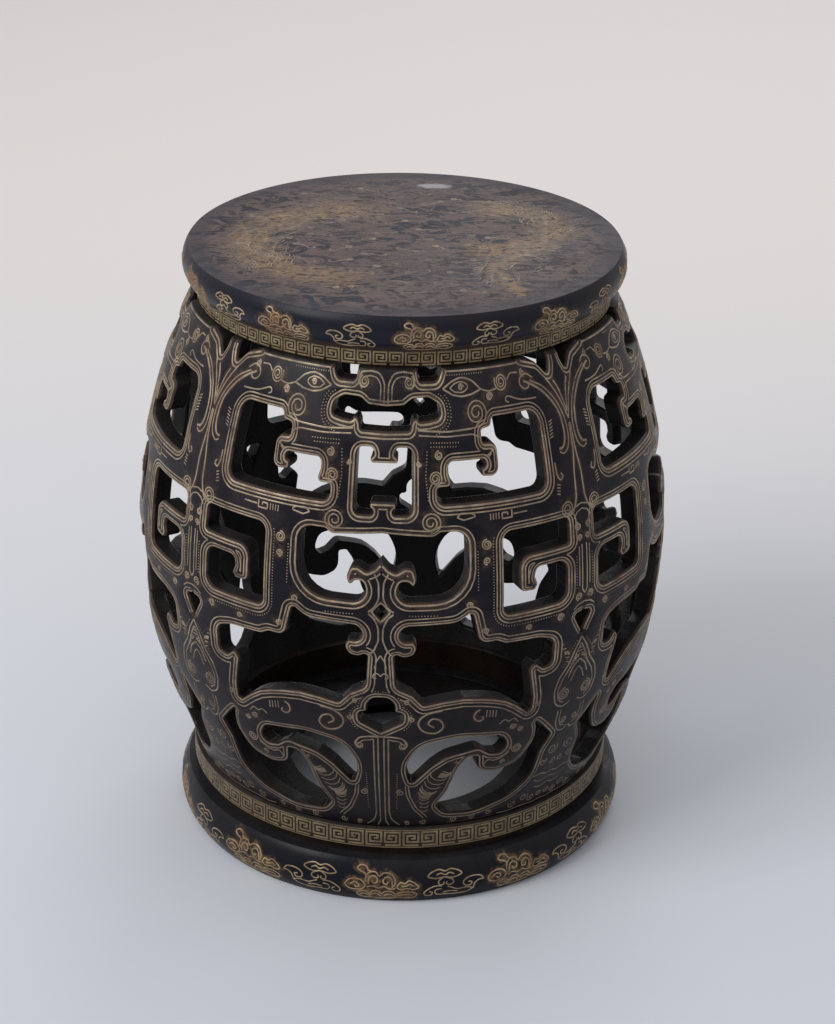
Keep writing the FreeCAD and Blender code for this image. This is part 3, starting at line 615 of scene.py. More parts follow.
# Openwork wall: eight barrel staves, two to a panel, sawn through with hooked scrolls, rounded
# along the edges and lacquered blue-black. The lacquer hides the staves' joints.
WALL_TOP = 430
WALL_FOOT_RADIUS = 161
WALL_TOP_RADIUS = 160
BARREL_ROUND = 424
WALL_THICKNESS = 15
HALF_PANEL = 159.5
PATTERN_RADIUS = HALF_PANEL / math.radians(45)
EDGE_ROUND = 2.0
LEAST_ROUND = 2.2
CUTS_ACROSS = 72
CUTS_UP = 80
PANELS = ("front", "right", "back", "left")
wall_edge = bowed((WALL_FOOT_RADIUS, WALL_FOOT), (WALL_TOP_RADIUS, WALL_TOP), BARREL_ROUND)


def both_halves(corners, line=0.0):
    """Outline of an opening that lies across a seam, from the half that is drawn."""
    return corners + [(2 * line - u, up, radius) for u, up, radius in reversed(corners) if u != line]


# Corners are (across from the panel's middle at the belly, up from the wall's foot, radius), in mm
ON_SEAM = {
    "collar_slot": both_halves([
        (0, 329.5, 0), (20.5, 330, 3), (21, 334.5, 2), (24, 339.5, 2.5), (28.5, 335.8, 3), (36, 336.4, 8),
        (45.5, 338.3, 4), (44.3, 347, 5), (36, 351.5, 8), (22, 351, 8), (15, 346.5, 5), (0, 345.5, 0),
    ]),
    "key_slot": both_halves([
        (10.5, 308.5, 2), (11, 312.5, 1.5), (7.8, 314, 1.5), (9.5, 319, 3), (22, 319, 5), (22, 272.8, 5),
        (8, 272.8, 3), (7.2, 276.6, 1.5), (10.3, 278, 1.2), (9.8, 282, 2),
    ]),
    "wide_window": both_halves([
        (0, 260, 0), (12, 259, 20), (38, 257.2, 8), (43, 260.5, 2), (63, 260.5, 11), (63, 209.5, 24),
        (16, 208.8, 9), (10.6, 217, 9), (14, 225.2, 6), (19.5, 224.6, 3), (23.4, 220.2, 1.2),
        (25.8, 226.5, 6), (23, 235, 6), (17, 235.4, 5), (10.5, 231.4, 3), (5.5, 234, 2), (0, 240, 0),
    ]),
    "diamond": both_halves([(0, 207.5, 0), (5, 202, 0), (0, 196, 0)]),
    "heart": both_halves([
        (6, 131, 7), (10.6, 125, 7), (10.2, 118.4, 1.5), (16.8, 117.6, 3), (16.6, 109.5, 4), (0, 100, 0),
    ]),
}
OFF_SEAM = {
    "brow_gap": [
        (27, 380, 0), (50, 380, 0), (48, 370, 0), (44, 361.5, 6), (28, 361.5, 3), (26.5, 368, 2),
    ],
    "corner_gap": [
        (122, 380, 0), (153.5, 380, 0), (152.5, 364, 0), (149, 356, 1), (139, 366, 12), (122, 370.5, 0),
    ],
    "hook_window": [
        (88.5, 336, 3), (130, 336, 10), (130, 280, 8), (41, 280, 8), (41, 292, 0.8), (53, 292, 4),
        (50, 301, 3), (50, 309, 4), (79.5, 309, 3), (80, 304, 1.5), (76, 303, 1.2), (75.5, 297.5, 3),
        (90.5, 296, 7), (90.5, 319.5, 9), (78.5, 320, 1), (78.5, 328.5, 2), (87, 330, 4),
    ],
    "side_window": [
        (90.5, 256.5, 7), (146.5, 256.5, 4), (146.5, 236.5, 1), (103, 236.5, 10), (103, 209, 5),
        (115, 208.5, 3), (118, 213, 1), (115.5, 219, 3), (117, 225.5, 5), (143.5, 225.5, 8),
        (143.5, 194, 8), (90.5, 194, 5),
    ],
    "shoulder_window": [
        (9.5, 169, 2), (11.2, 140, 7), (24, 133.5, 6), (32, 124.5, 0.8), (62, 130.5, 70), (97.5, 122, 45),
        (119, 104, 0.5), (119, 118, 20), (113.5, 143, 3), (118, 149, 3), (125.5, 142.5, 3),
        (133.5, 143.5, 4), (133.5, 165, 9), (118, 169.5, 20), (92, 170.5, 6), (85, 174, 4),
        (72, 173.5, 12), (66, 199.5, 0.5), (56, 192, 30), (17, 190.4, 7), (12.8, 184, 7),
        (16, 177.8, 5), (24, 178.6, 1.5), (26.6, 173, 5), (23.5, 167, 6), (16, 165.2, 7),
    ],
    "upper_crescent": [
        (24, 48, 2), (18.5, 66, 22), (30, 87.5, 22), (60, 93, 40), (97, 88.5, 10), (103, 77.5, 8),
        (98, 71, 6), (88, 73, 6), (78, 80.5, 9), (52, 75, 25), (40, 66, 12),
    ],
    "lower_crescent": [
        (78, 72, 2), (80, 57, 10), (96, 52.5, 18), (117, 57.5, 20), (128.5, 77, 18), (127.5, 90, 15),
        (124.5, 96, 0.5), (133, 88, 20), (144.5, 76, 0.5), (137, 62, 15), (136, 36, 20),
        (118, 20.5, 30), (84, 11, 40), (55, 13.5, 14), (47, 23.5, 4), (56, 38, 20), (63, 62, 20),
        (70, 72, 4),
    ],
    "seam_gap": both_halves(
        [(HALF_PANEL, 180.5, 0), (HALF_PANEL - 8.5, 179, 1.5), (HALF_PANEL, 164, 0)], line=HALF_PANEL
    ),
}


def opening_outline(corners):
    """Outline at true height, with no corner sharper than the lacquer leaves it."""
    return rounded([(u, up + WALL_FOOT, max(radius, LEAST_ROUND) if radius else 0)
                    for u, up, radius in corners])


openings = {name: [opening_outline(corners)] for name, corners in ON_SEAM.items()}
for name, corners in OFF_SEAM.items():
    mirrored = [(-u, up, radius) for u, up, radius in reversed(corners)]
    openings[name] = [opening_outline(corners), opening_outline(mirrored)]


def sawn_panel(name, margin=10.0):
    """Flat panel with its openings and rounded edges, trimmed to the panel's own size."""
    low, high = WALL_FOOT - margin, WALL_TOP + 2 * margin
    side = HALF_PANEL + margin
    border = [(-side, low), (side, low), (side, high), (-side, high)]
    curve = flat_curve(name, "BOTH", EDGE_ROUND)
    curve.bevel_resolution = 2
    curve.offset = -EDGE_ROUND * MM
    curve.extrude = (WALL_THICKNESS / 2 - EDGE_ROUND) * MM
    for outline in [border] + [line for lines in openings.values() for line in lines]:
        add_line(curve, outline)
    piece = curve_to_mesh(curve)
    piece.data.transform(Matrix.Translation((0, 0, -WALL_THICKNESS / 2 * MM)))
    finish_mesh()
    bpy.ops.object.mode_set(mode="EDIT")
    trims = [
        ((-HALF_PANEL, 0), (-1, 0)), ((HALF_PANEL, 0), (1, 0)),
        ((0, WALL_FOOT), (0, -1)), ((0, WALL_TOP), (0, 1)),
    ]
    for spot, normal in trims:
        bpy.ops.mesh.select_all(action="SELECT")
        bpy.ops.mesh.bisect(
            plane_co=(spot[0] * MM, spot[1] * MM, 0), plane_no=(*normal, 0),
            use_fill=True, clear_outer=True, threshold=0.01 * MM,
        )
    wall_height = WALL_TOP - WALL_FOOT
    across = [(HALF_PANEL * (2 * cut / CUTS_ACROSS - 1), 0) for cut in range(1, CUTS_ACROSS)]
    upward = [(0, WALL_FOOT + wall_height * cut / CUTS_UP) for cut in range(1, CUTS_UP)]
    for spots, normal in ((across, (1, 0, 0)), (upward, (0, 1, 0))):
        for u, height in spots:
            bpy.ops.mesh.select_all(action="SELECT")
            bpy.ops.mesh.bisect(
                plane_co=(u * MM, height * MM, 0), plane_no=normal, threshold=0.01 * MM
            )
    bpy.ops.object.mode_set(mode="OBJECT")
    return piece


EDGE_STEP = 1.5
dense_openings = {name: [dense(line, EDGE_STEP) for line in lines] for name, lines in openings.items()}
edge_points = [point for lines in dense_openings.values() for line in lines for point in line]
edge_distance = finder(edge_points)

# The strip along the openings' edges is brown: there the black coat is rubbed to the one below
# The wall's dust amount is raised so that it also paints sheen on faces that look up
wall_lacquer, tree, shader = lacquer(
    "wall_lacquer", (0.0055, 0.0051, 0.0088, 1), (0.031, 0.0215, 0.0245, 1), (0.28, 0.5), 0.24, 22.0
)
BAND_BROWN = (0.072, 0.045, 0.034, 1)
BAND_REACH = 5.0
coated = shader.inputs["Base Color"].links[0].from_socket
distance = shader_node(tree, "Attribute", attribute_name="edge_distance").outputs["Fac"]
rubbing = noise(tree, shader_node(tree, "TexCoord").outputs["Object"], 60.0, 5.0, 0.65)
band = ramp(tree, distance, BAND_REACH, BAND_REACH - 2.5)
band = maths(tree, "MULTIPLY", band, ramp(tree, rubbing, 0.36, 0.62, 0.15, 1.0))
coated = blend(tree, band, coated, BAND_BROWN)
# Painted shade: the wall's lacquer darkens towards the drum's foot
tree.links.new(shaded_to_foot(tree, coated, (0.0085, 0.0063, 0.0068, 1), 0.75), shader.inputs["Base Color"])

panel = sawn_panel("openwork_panel_front")
panel_spots = [(vertex.co.x / MM, vertex.co.y / MM) for vertex in panel.data.vertices]
band_attribute = panel.data.attributes.new("edge_distance", "FLOAT", "POINT")
for index, spot in enumerate(panel_spots):
    band_attribute.data[index].value = edge_distance(*spot)
panel_outside = [vertex.co.z > -EDGE_ROUND * MM for vertex in panel.data.vertices]
panel.data.materials.append(wall_lacquer)
panel.data.materials.append(inner_lacquer)
for face in panel.data.polygons:
    face.material_index = 0 if face.normal.z > 0.2 else 1


def round_the_drum(first, family):
    """The first panel's piece and its copies on the other three sides, a quarter turn apart."""
    ring = [first]
    for quarter, side in enumerate(PANELS[1:], start=1):
        piece = first.copy()
        piece.data = first.data.copy()
        piece.name = f"{family}_{side}"
        piece.data.name = piece.name
        piece.data.transform(Matrix.Rotation(quarter * math.pi / 2, 4, "Z"))
        bpy.context.collection.objects.link(piece)
        ring.append(piece)
    for piece in ring:
        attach(piece, "root")
    return ring


# Wall gilding: gold lines that follow the openings two and three deep, with scrolls, eyes, stems
# and feathering between them, drawn in raised lacquer on the wall's outer face.
LINE_WIDTH = 1.0
LINE_HEIGHT = 0.3
EDGE_LINE_WEIGHT = 1.25
USUAL_LINES = (1.5, 4.1)
LINES_AT = {
    "hook_window": (1.5, 3.7, 6.3), "side_window": (1.5, 3.7, 6.3), "shoulder_window": (1.5, 3.6, 6.6),
    "wide_window": (1.6, 5.0), "key_slot": (1.5, 4.2), "diamond": (1.6,),
}
TOP_CLEAR = WALL_TOP - 0.7
FOOT_CLEAR = WALL_FOOT + 0.7
SIDE_CLEAR = HALF_PANEL - 0.05
SLACK = 0.12
BARB_CLEAR = 2.4
ORNAMENT_DUST = (3.6, 0.34)
CUSHION_DEPTH = 1.5
CUSHION_REACH = 9.0


def cushioned(piece, outside):
    """Let the wall's face fall off softly towards the openings, as on a carved cushion."""
    for vertex, lies_outside in zip(piece.data.vertices, outside):
        if lies_outside:
            distance = edge_distance(vertex.co.x / MM, vertex.co.y / MM)
            fall = max(0.0, 1 - distance / CUSHION_REACH) ** 2
            vertex.co.z -= CUSHION_DEPTH * fall * MM


def beside(outline, offset, weight=1.0):
    """Strokes that keep one distance from an opening and come no nearer to any other."""
    count = len(outline)
    kept = []
    area = sum(a.cross(b) for a, b in zip(outline, outline[1:] + outline[:1]))
    outside = 1 if area > 0 else -1
    for index, point in enumerate(outline):
        along = outline[(index + 1) % count] - outline[index - 1]
        spot = point + Vector((along.y, -along.x)).normalized() * outside * offset
        clear = edge_distance(*spot) > offset - SLACK
        inside = abs(spot.x) <= SIDE_CLEAR and FOOT_CLEAR < spot.y < TOP_CLEAR
        kept.append(spot if clear and inside else None)
    if None not in kept:
        return [stroke(kept, weight, closed=True)]
    first = kept.index(None)
    strokes, run = [], []
    for spot in kept[first:] + kept[:first + 1]:
        if spot is not None:
            run.append(spot)
            continue
        if len(run) > 2:
            strokes.append(stroke(run, weight))
        run = []
    return strokes


def both_sides(points, weight):
    """A stroke and its mirror image in the panel's middle."""
    return [stroke(points, weight), stroke([Vector((-point.x, point.y)) for point in points], weight)]


BEAD_STEP = 2.2
BEAD_LENGTH = 0.7


def beaded(points):
    """Row of small beads along a line, on both halves of the panel."""
    beads = []
    left_over = 0.0
    for start, end in zip(points, points[1:]):
        length = (end - start).length
        along = (end - start) / max(length, 1e-6)
        while left_over < length:
            spot = start + along * left_over
            beads += both_sides([spot, spot + along * BEAD_LENGTH], 0.9)
            left_over += BEAD_STEP
        left_over -= length
    return beads


gilt_lines = []
for name, lines in dense_openings.items():
    for number, offset in enumerate(LINES_AT.get(name, USUAL_LINES)):
        for outline in lines:
            gilt_lines += beside(outline, offset, 1.0 if number else EDGE_LINE_WEIGHT)

# Beads follow some of the openings' right halves outside those lines, inside a box (across, up,
# across, up), and run in rows of their own elsewhere
BEADS_BESIDE = [
    ("collar_slot", 6.4, (37, 325, 60, 356)), ("collar_slot", 8.8, (40, 325, 60, 356)),
    ("side_window", 8.8, (78, 180, 138, 256)), ("heart", 6.2, (0, 102, 26, 140)),
]
BEAD_ROWS = [
    [(34, 284, 0), (32, 300, 20), (33.4, 318, 0)], [(36, 323, 0), (58, 322.4, 0)],
    [(36, 320.4, 0), (56, 319.8, 0)], [(151.8, 226, 0), (151.8, 200, 0)],
    [(52, 366, 0), (84, 366, 0)], [(70, 246, 0), (70, 216, 0)], [(20, 200, 0), (40, 199.6, 0)],
    [(143.5, 138, 0), (148, 148, 20), (155, 158, 0)], [(12.5, 60, 0), (12.5, 22, 0)],
    [(60, 2.6, 0), (108, 2.6, 0)],
]
for name, offset, (left, low, right, high) in BEADS_BESIDE:
    for points, *_ in beside(dense_openings[name][0], offset):
        run = [point for point in points
               if left <= point.x < right and low < point.y - WALL_FOOT < high]
        breaks = [index for index in range(1, len(run)) if (run[index] - run[index - 1]).length > 6]
        for start, end in zip([0] + breaks, breaks + [len(run)]):
            gilt_lines += beaded(run[start:end])
for corners in BEAD_ROWS:
    raised = [(u, up + WALL_FOOT, radius) for u, up, radius in corners]
    gilt_lines += beaded(rounded(raised, closed=False))

# Scrolls: (across, up, radius, turns, start of the outer end in degrees, hand)
SCROLLS = [
    (19, 362, 4.4, 2.0, 60, -1), (75, 340.8, 9.4, 2.3, 270, 1), (100, 358.5, 6.0, 2.4, 150, 1),
    (88, 350, 2.8, 1.8, 0, 1), (63.5, 358, 2.3, 1.6, 0, 1), (122, 361.5, 2.6, 1.5, 90, 1),
    (42.5, 314.5, 3.2, 1.8, 90, 1), (39.5, 299, 5.4, 2.4, 270, 1),
    (26.8, 309, 2.0, 1.4, 0, -1), (35.5, 268.4, 8.0, 2.3, 270, 1), (146.2, 263.4, 6.4, 2.4, 350, -1),
    (77, 250, 4.0, 2.0, 90, 1),
    (77, 238, 2.8, 1.6, 270, -1), (63.5, 206, 2.6, 1.5, 300, 1), (76, 184, 2.6, 1.6, 200, -1),
    (110, 181, 2.4, 1.5, 200, -1), (137, 182, 3.0, 1.7, 0, 1),
    (19.5, 128, 2.2, 1.4, 40, 1), (23.5, 113, 2.4, 1.4, 90, 1),
    (16.6, 87.5, 3.4, 1.8, 60, -1), (15.5, 40, 3.4, 1.4, 90, 1), (22, 4.5, 2.6, 1.5, 160, -1),
    (104, 96.5, 2.8, 1.6, 30, -1), (111, 92.5, 2.4, 1.5, 30, -1), (111, 74, 4.4, 2.2, 160, 1),
    (100, 62.5, 2.4, 1.5, 0, 1), (124.5, 112, 2.6, 1.5, 120, 1), (148.5, 113, 5.6, 2.4, 90, 1),
    (153.5, 87.5, 3.0, 1.5, 200, 1), (150.5, 60, 5.4, 1.5, 30, -1), (155.4, 47, 3.4, 1.2, 200, 1),
    (144.4, 48, 3.8, 1.3, 60, -1), (125, 9, 4.4, 1.3, 150, 1), (136, 14, 4.6, 1.3, 30, -1),
    (146, 10, 4.2, 1.3, 160, 1), (154.5, 12, 3.6, 1.3, 30, -1), (66, 6.2, 3.2, 1.3, 150, 1),
    (84, 5.8, 3.0, 1.3, 150, 1), (100, 7.6, 3.2, 1.3, 30, -1), (37, 6, 3.2, 1.3, 160, 1),
    (154.6, 248, 3.0, 1.8, 90, 1), (156, 239.6, 2.4, 1.5, 270, -1), (154.2, 193.8, 3.2, 1.7, 250, -1),
]
# Strokes: runs of corners (across, up, radius) and how bold they are
STROKES = [
    # Brow: border line, ear frames, eye and the long ribbon by the corner
    ([(50.5, 368.4, 0), (120, 368.4, 0)], 1.2),
    ([(1.7, 348.5, 0), (1.7, 361, 7), (6, 367.6, 7), (14, 368.8, 10), (23, 367.8, 4), (24.8, 361.5, 3),
      (21, 357.6, 0)], 1.2),
    ([(4.8, 350.5, 0), (4.8, 360, 6), (8, 364.6, 6), (14, 365.8, 6), (19, 365, 0)], 1.0),
    ([(48, 357.5, 0), (56, 362, 10), (65, 364.6, 14), (74, 361.5, 10), (81, 355.5, 0)], 1.2),
    ([(48, 357.5, 0), (56, 353.4, 10), (64, 351.8, 14), (73, 353, 10), (81, 355.5, 0)], 1.2),
    ([(81, 355.5, 0), (88, 353.4, 8), (95, 354.6, 0)], 1.0),
    ([(54, 357.8, 0), (59, 360.8, 6), (65, 361.6, 6), (72, 358, 5), (65, 354.4, 6), (58, 355, 5),
      (54, 357.8, 0)], 0.9),
    ([(106, 359, 0), (110, 363, 4), (117, 362.4, 0)], 1.0),
    # Collar and hook
    ([(26, 331.4, 0), (30, 331, 4), (50, 329.8, 60), (70, 330.8, 40), (75, 331.4, 0)], 1.2),
    ([(27, 328, 0), (50, 326.6, 60), (71, 327.2, 30), (76, 324.4, 0)], 1.0),
    ([(55, 271.4, 0), (58, 274, 2), (66, 273.6, 2), (70, 271.2, 2), (60, 269.2, 2), (55, 271.4, 0)], 1.0),
    ([(110, 269.6, 0), (98.6, 269.4, 0)], 1.1),
    ([(97.4, 272.6, 0), (97.4, 267.2, 0.5), (89.6, 267.2, 0.5), (89.6, 271.2, 0.5), (94, 271.2, 0.5),
      (94, 269.4, 0)], 1.1),
    # Middle scrolls and the neck below them
    ([(5, 231, 0), (1.8, 225, 10), (1.5, 213, 10), (4.6, 205.5, 8), (9, 202.2, 0)], 1.2),
    ([(9, 200.8, 0), (4.8, 197, 8), (1.7, 190, 10), (1.5, 180, 10), (4.6, 172, 8), (8, 168, 0)], 1.2),
    ([(0, 168, 0), (3, 163, 5), (4.2, 157, 0)], 1.0),
    # Column by the panels' seam
    ([(148.4, 259, 0), (152.4, 262.6, 4), (159.4, 264.4, 0)], 1.1),
    ([(151.4, 254.4, 0), (154.4, 258.6, 4), (159.4, 260.4, 0)], 1.0),
    ([(157.2, 234, 0), (157.2, 199, 3), (159.4, 195.6, 0)], 1.0), ([(154.4, 233, 0), (154.4, 202, 0)], 0.9),
    ([(149.4, 184.4, 0), (153, 187.4, 4), (159.4, 188.8, 0)], 1.1),
    # Lobe's hanging curls
    ([(92, 101, 0), (96, 104.6, 2), (100, 101.6, 2), (104, 104.4, 2), (108, 99.6, 0)], 1.0),
    ([(84, 63, 0), (86, 68, 4), (92, 65.6, 3), (98, 66.4, 3), (105, 71, 0)], 1.1),
    # Stem, its scrolls and its spread foot
    ([(2.3, 96, 0), (2.3, 14, 0), (2.3, 8, 6), (5, 2, 0)], 1.25),
    ([(5.7, 94, 0), (5.7, 16, 30), (8, 8.4, 8), (15, 2.6, 0)], 1.25),
    ([(2.3, 96, 0), (8, 96.4, 4), (16.6, 95, 6), (21, 89, 5), (17.4, 84.5, 3), (14.8, 87, 0)], 1.4),
    ([(5.7, 94, 0), (9, 93, 3), (14, 92.2, 4), (17.8, 88.6, 0)], 1.0),
    ([(22, 46.5, 0), (23.5, 36, 20), (30, 22, 12), (40, 11.5, 0)], 1.2),
    ([(19.5, 47, 0), (20.8, 36, 20), (27.6, 20.4, 12), (37, 10.5, 0)], 1.0),
    # Pendant under the seam's small gap
    ([(159.4, 159.5, 0), (154, 151, 12), (148.5, 139, 14), (141, 129, 10), (137.8, 117, 12), (141, 105, 8),
      (149, 100.6, 6), (155.6, 104, 0)], 1.3),
    ([(159.4, 154, 0), (155.5, 147, 12), (151.4, 137, 14), (144.5, 127, 10), (141.2, 117, 10),
      (143.6, 108, 6), (149, 105, 0)], 1.0),
    ([(150, 127, 0), (153, 135, 8), (159.4, 140.5, 0)], 1.2),
    ([(153, 123, 0), (155.6, 130, 6), (159.4, 134, 0)], 1.0),
    ([(145.6, 98, 0), (145.4, 86, 10), (150, 77.6, 6), (156, 77, 4), (158.6, 81, 0)], 1.2),
    ([(148.8, 98, 0), (148.6, 89, 8), (151, 83, 4), (155, 81.6, 0)], 1.0),
    ([(138.5, 34, 0), (146, 36, 6), (154, 33, 6), (159.4, 35, 0)], 1.1),
    ([(110, 3, 0), (120, 2, 5), (130, 3, 5), (140, 3.4, 6), (150, 2.4, 5), (159.4, 3.5, 0)], 1.1),
    ([(141, 30, 0), (148, 26, 8), (159.4, 29, 0)], 1.0),
    ([(144, 22, 0), (151, 19.6, 6), (159.4, 22.6, 0)], 1.0),
]

# Flowing lines, as runs of spots (across, up): first the ribbons that hang by the corner and the
# strap that gathers them on the seam
RIBBONS = [
    ([(121.6, 356.1), (127.2, 353.9), (133.3, 350.5), (139.4, 346.1), (144.9, 340.3), (148.7, 335),
      (151.2, 329.2), (152.4, 321), (152, 313), (149.4, 307.4), (145, 306.2)], 1.6),
    ([(128, 355.8), (139.3, 350.2), (147.9, 341.8), (153, 332.8), (155.6, 323.9), (156, 315), (154.2, 307),
      (149.5, 302.6), (145.2, 304.2)], 1.1),
    ([(131, 357.2), (125, 360.6), (119.2, 358.8), (117.8, 354.4), (121.6, 351.2), (126, 352),
      (125.6, 355.4)], 1.1),
    ([(151.8, 352), (155.2, 346), (157.6, 338), (159.4, 330)], 1.2),
    ([(144.6, 354.6), (150, 347), (154, 340), (157.2, 332), (159.4, 325)], 1.2),
    ([(158.8, 322), (158.3, 304), (156, 287), (155.4, 272), (154, 266), (152.5, 262.3)], 1.25),
    ([(131, 344), (116, 345), (104.6, 348.6), (102, 346), (104.6, 344.6)], 1.0),
    ([(138.6, 298), (139.2, 290), (141.6, 285.4), (144.6, 287), (143, 290)], 1.1),
    # Volute that ends the lobe, the hook by its comb, and the knot on the neck
    ([(46, 120), (36, 117.8), (29.8, 113.4), (28.4, 107.4), (32.8, 101.4), (41.8, 99.6), (47.2, 104.8),
      (44.6, 111.2), (38.6, 112.8), (35.8, 108.4), (40.2, 105)], 1.35),
    ([(75, 117.4), (71.6, 115), (70.8, 110.6), (74.2, 107), (78, 108.4), (77, 111)], 1.2),
    ([(0, 150.6), (2.2, 152.8), (5, 151.8), (5.2, 149), (3, 148.8)], 1.0),
]
# Combs: first bar's foot (across, up), step to the next, run of each bar, and how many
COMBS = [
    ((137.8, 315), (0.2, 2.2), (3.2, 1.2), 6), ((137.6, 276), (0.3, 2.2), (2.8, -1.0), 4),
    ((87, 267.4), (-2.2, 0), (0, 4.4), 4), ((80.6, 110), (2.5, -0.5), (0, 6.2), 4),
]

ornament = []
ribbon_points = []
for spots, weight in RIBBONS:
    line = flowing(*((u, up + WALL_FOOT) for u, up in spots))
    gilt_lines += both_sides(line[0], weight)
    if weight > 1:
        ribbon_points += dense(line[0], EDGE_STEP, closed=False)
for foot, step, bar, count in COMBS:
    for number in range(count):
        start = Vector((foot[0], foot[1] + WALL_FOOT)) + number * Vector(step)
        gilt_lines += both_sides([start, start + Vector(bar)], 0.9)
for u, up, *form in SCROLLS:
    ornament += both_sides(curl(u, up + WALL_FOOT, *form), 1.0)
for corners, weight in STROKES:
    raised = [(u, up + WALL_FOOT, radius) for u, up, radius in corners]
    gilt_lines += both_sides(rounded(raised, closed=False), weight)

# Feathering: short barbs that lean across a spine, on the leaf between the crescents and on the
# pendant. A barb is left out where it would run into an opening's lines.
FEATHERED = [
    ([(37, 16, 0), (36, 36, 14), (47, 58, 18), (57, 69, 14), (69, 75.5, 0)], 38, 8.5, (-1, 1)),
    ([(149, 134, 0), (153, 143, 10), (159, 152, 0)], 12, 4.5, (1,)),
    ([(138.5, 160, 0), (143, 150, 20), (146, 140, 0)], 9, 4.5, (-1,)),
]
for corners, count, longest, ways in FEATHERED:
    spine = rounded([(u, up + WALL_FOOT, radius) for u, up, radius in corners], closed=False)
    for barb in range(count):
        share = (barb + 0.5) / count * (len(spine) - 1)
        low = int(share)
        spot = spine[low].lerp(spine[low + 1], share - low)
        along = (spine[low + 1] - spine[low]).normalized()
        side = Vector((along.y, -along.x))
        length = longest * math.sin(math.pi * (0.12 + 0.8 * barb / count))
        for way in ways:
            bend = spot + side * way * length * 0.6 + along * length * 0.15
            tip = spot + side * way * length + along * length * 0.6
            if edge_distance(*tip) > BARB_CLEAR:
                ornament += both_sides([spot, bend, tip], 0.8)
gilt_lines += ornament

gold_lines = gilding(
    "gold_lines", (0.415, 0.322, 0.215, 1), (0.25, 0.185, 0.125, 1), (0.25, 0.155, 0.115, 1),
    (0.062, 0.043, 0.035, 1), 0.42,
)
# Painted shade: the wall's gold lines darken towards the drum's foot
shade_gilding_to_foot(gold_lines, (0.07, 0.05, 0.04, 1), 0.62)
wall_gilding = raised_lines("panel_gilding_front", gilt_lines, LINE_WIDTH, LINE_HEIGHT)
cushioned(wall_gilding, [True] * len(wall_gilding.data.vertices))
wrap(wall_gilding, wall_edge, PATTERN_RADIUS)
wall_gilding.data.materials.append(gold_lines)
for piece in round_the_drum(wall_gilding, "panel_gilding"):
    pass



# The panels get their dust round the ornament, are bent to the barrel and copied to all sides
def outer_face(spot):
    """Place in the drawing of a spot on the panel's outer face."""
    return (spot.x / MM, spot.y / MM) if spot.z > -EDGE_ROUND * MM else None


ribbon_distance = finder(ribbon_points)
RIBBON_OFF = 2.0
for index, (u, height) in enumerate(panel_spots):
    beside_ribbon = ribbon_distance(abs(u), height) + RIBBON_OFF
    held = band_attribute.data[index]
    held.value = min(held.value, beside_ribbon)
sprinkle(panel, outer_face, [point for line in ornament for point in line[0]], *ORNAMENT_DUST)
cushioned(panel, panel_outside)
wrap(panel, wall_edge, PATTERN_RADIUS)
take_up(panel)
bpy.ops.object.shade_smooth_by_angle(angle=math.radians(50))
bpy.ops.object.modifier_add(type="WEIGHTED_NORMAL")
panel.modifiers[-1].keep_sharp = True
bpy.ops.object.modifier_apply(modifier=panel.modifiers[-1].name)
STAVES_OF = {
    "front": ("stave_front_left", "stave_front_right"),
    "right": ("stave_right_front", "stave_right_back"),
    "back": ("stave_back_right", "stave_back_left"),
    "left": ("stave_left_back", "stave_left_front"),
}
for side, piece in zip(PANELS, round_the_drum(panel, "openwork_panel")):
    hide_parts(*STAVES_OF[side])

# Upper hoop: the slimmer ring that caps the staves, with the same key pattern on its face
RIM_FOOT = 442
UPPER_HOOP_EDGE = 154.5
UPPER_HOOP_INSIDE = 138
UPPER_KEYS = 86
upper_hoop = turned("upper_hoop_ring", rounded([
    (UPPER_HOOP_INSIDE, WALL_TOP, SMALL_ROUND), (UPPER_HOOP_EDGE, WALL_TOP, SMALL_ROUND),
    (UPPER_HOOP_EDGE, RIM_FOOT, 0), (UPPER_HOOP_INSIDE, RIM_FOOT, 0),
]))
upper_hoop.data.materials.append(hoop_lacquer)
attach(upper_hoop, "root")
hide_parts(*(f"upper_hoop_{quarter}" for quarter in QUARTERS))
key_ring("upper_hoop_key", UPPER_HOOP_EDGE, WALL_TOP + 0.5, RIM_FOOT - 0.3, UPPER_KEYS)

# Seat rim: a ring of four tenoned segments with a rounded edge that overhangs the upper hoop. It
# is grooved inside for the seat panel and painted with gold clouds outside.
SEAT_TOP = 470
RIM_FOOT_EDGE = 156
RIM_TOP_EDGE = 161
RIM_ROUND = 19
RIM_INSIDE = 122
rim_edge = bowed((RIM_FOOT_EDGE, RIM_FOOT), (RIM_TOP_EDGE, SEAT_TOP), RIM_ROUND)
seat_rim = turned("seat_rim_ring", rounded(
    [(RIM_INSIDE, SEAT_TOP, 0), (RIM_INSIDE, RIM_FOOT, SOFT_CORNER)]
    + edge_run(rim_edge, RIM_FOOT, SEAT_TOP)[:-1] + [(RIM_TOP_EDGE, SEAT_TOP, SOFT_CORNER)]
))

# The top is dark slate, rubbed to brown in small flat patches, with a plainer margin and a pale painted
# highlight at the back. The rim's foot, which hands and knees rub, is brown.
seat_lacquer, tree, shader = lacquer(
    "seat_lacquer", (0.0085, 0.0088, 0.0165, 1), BROWN_BLACK, (0.32, 0.5), 0.1
)
edge_colour = shader.inputs["Base Color"].links[0].from_socket
place = shader_node(tree, "TexCoord").outputs["Object"]
flat_patches = shader_node(tree, "Mapping", {"Vector": place, "Scale": (46, 78, 60)}).outputs["Vector"]
patch = noise(tree, flat_patches, 1.0, 7.0, 0.62, 1.2)
flat_grain = shader_node(tree, "Mapping", {"Vector": place, "Scale": (170, 300, 200)}).outputs["Vector"]
grain = noise(tree, flat_grain, 1.0, 4.0, 0.66, 0.8)
broad = noise(tree, place, 11.0, 3.0, 0.5)
colour = blend(tree, ramp(tree, patch, 0.44, 0.56), (0.033, 0.031, 0.042, 1), (0.135, 0.096, 0.088, 1))
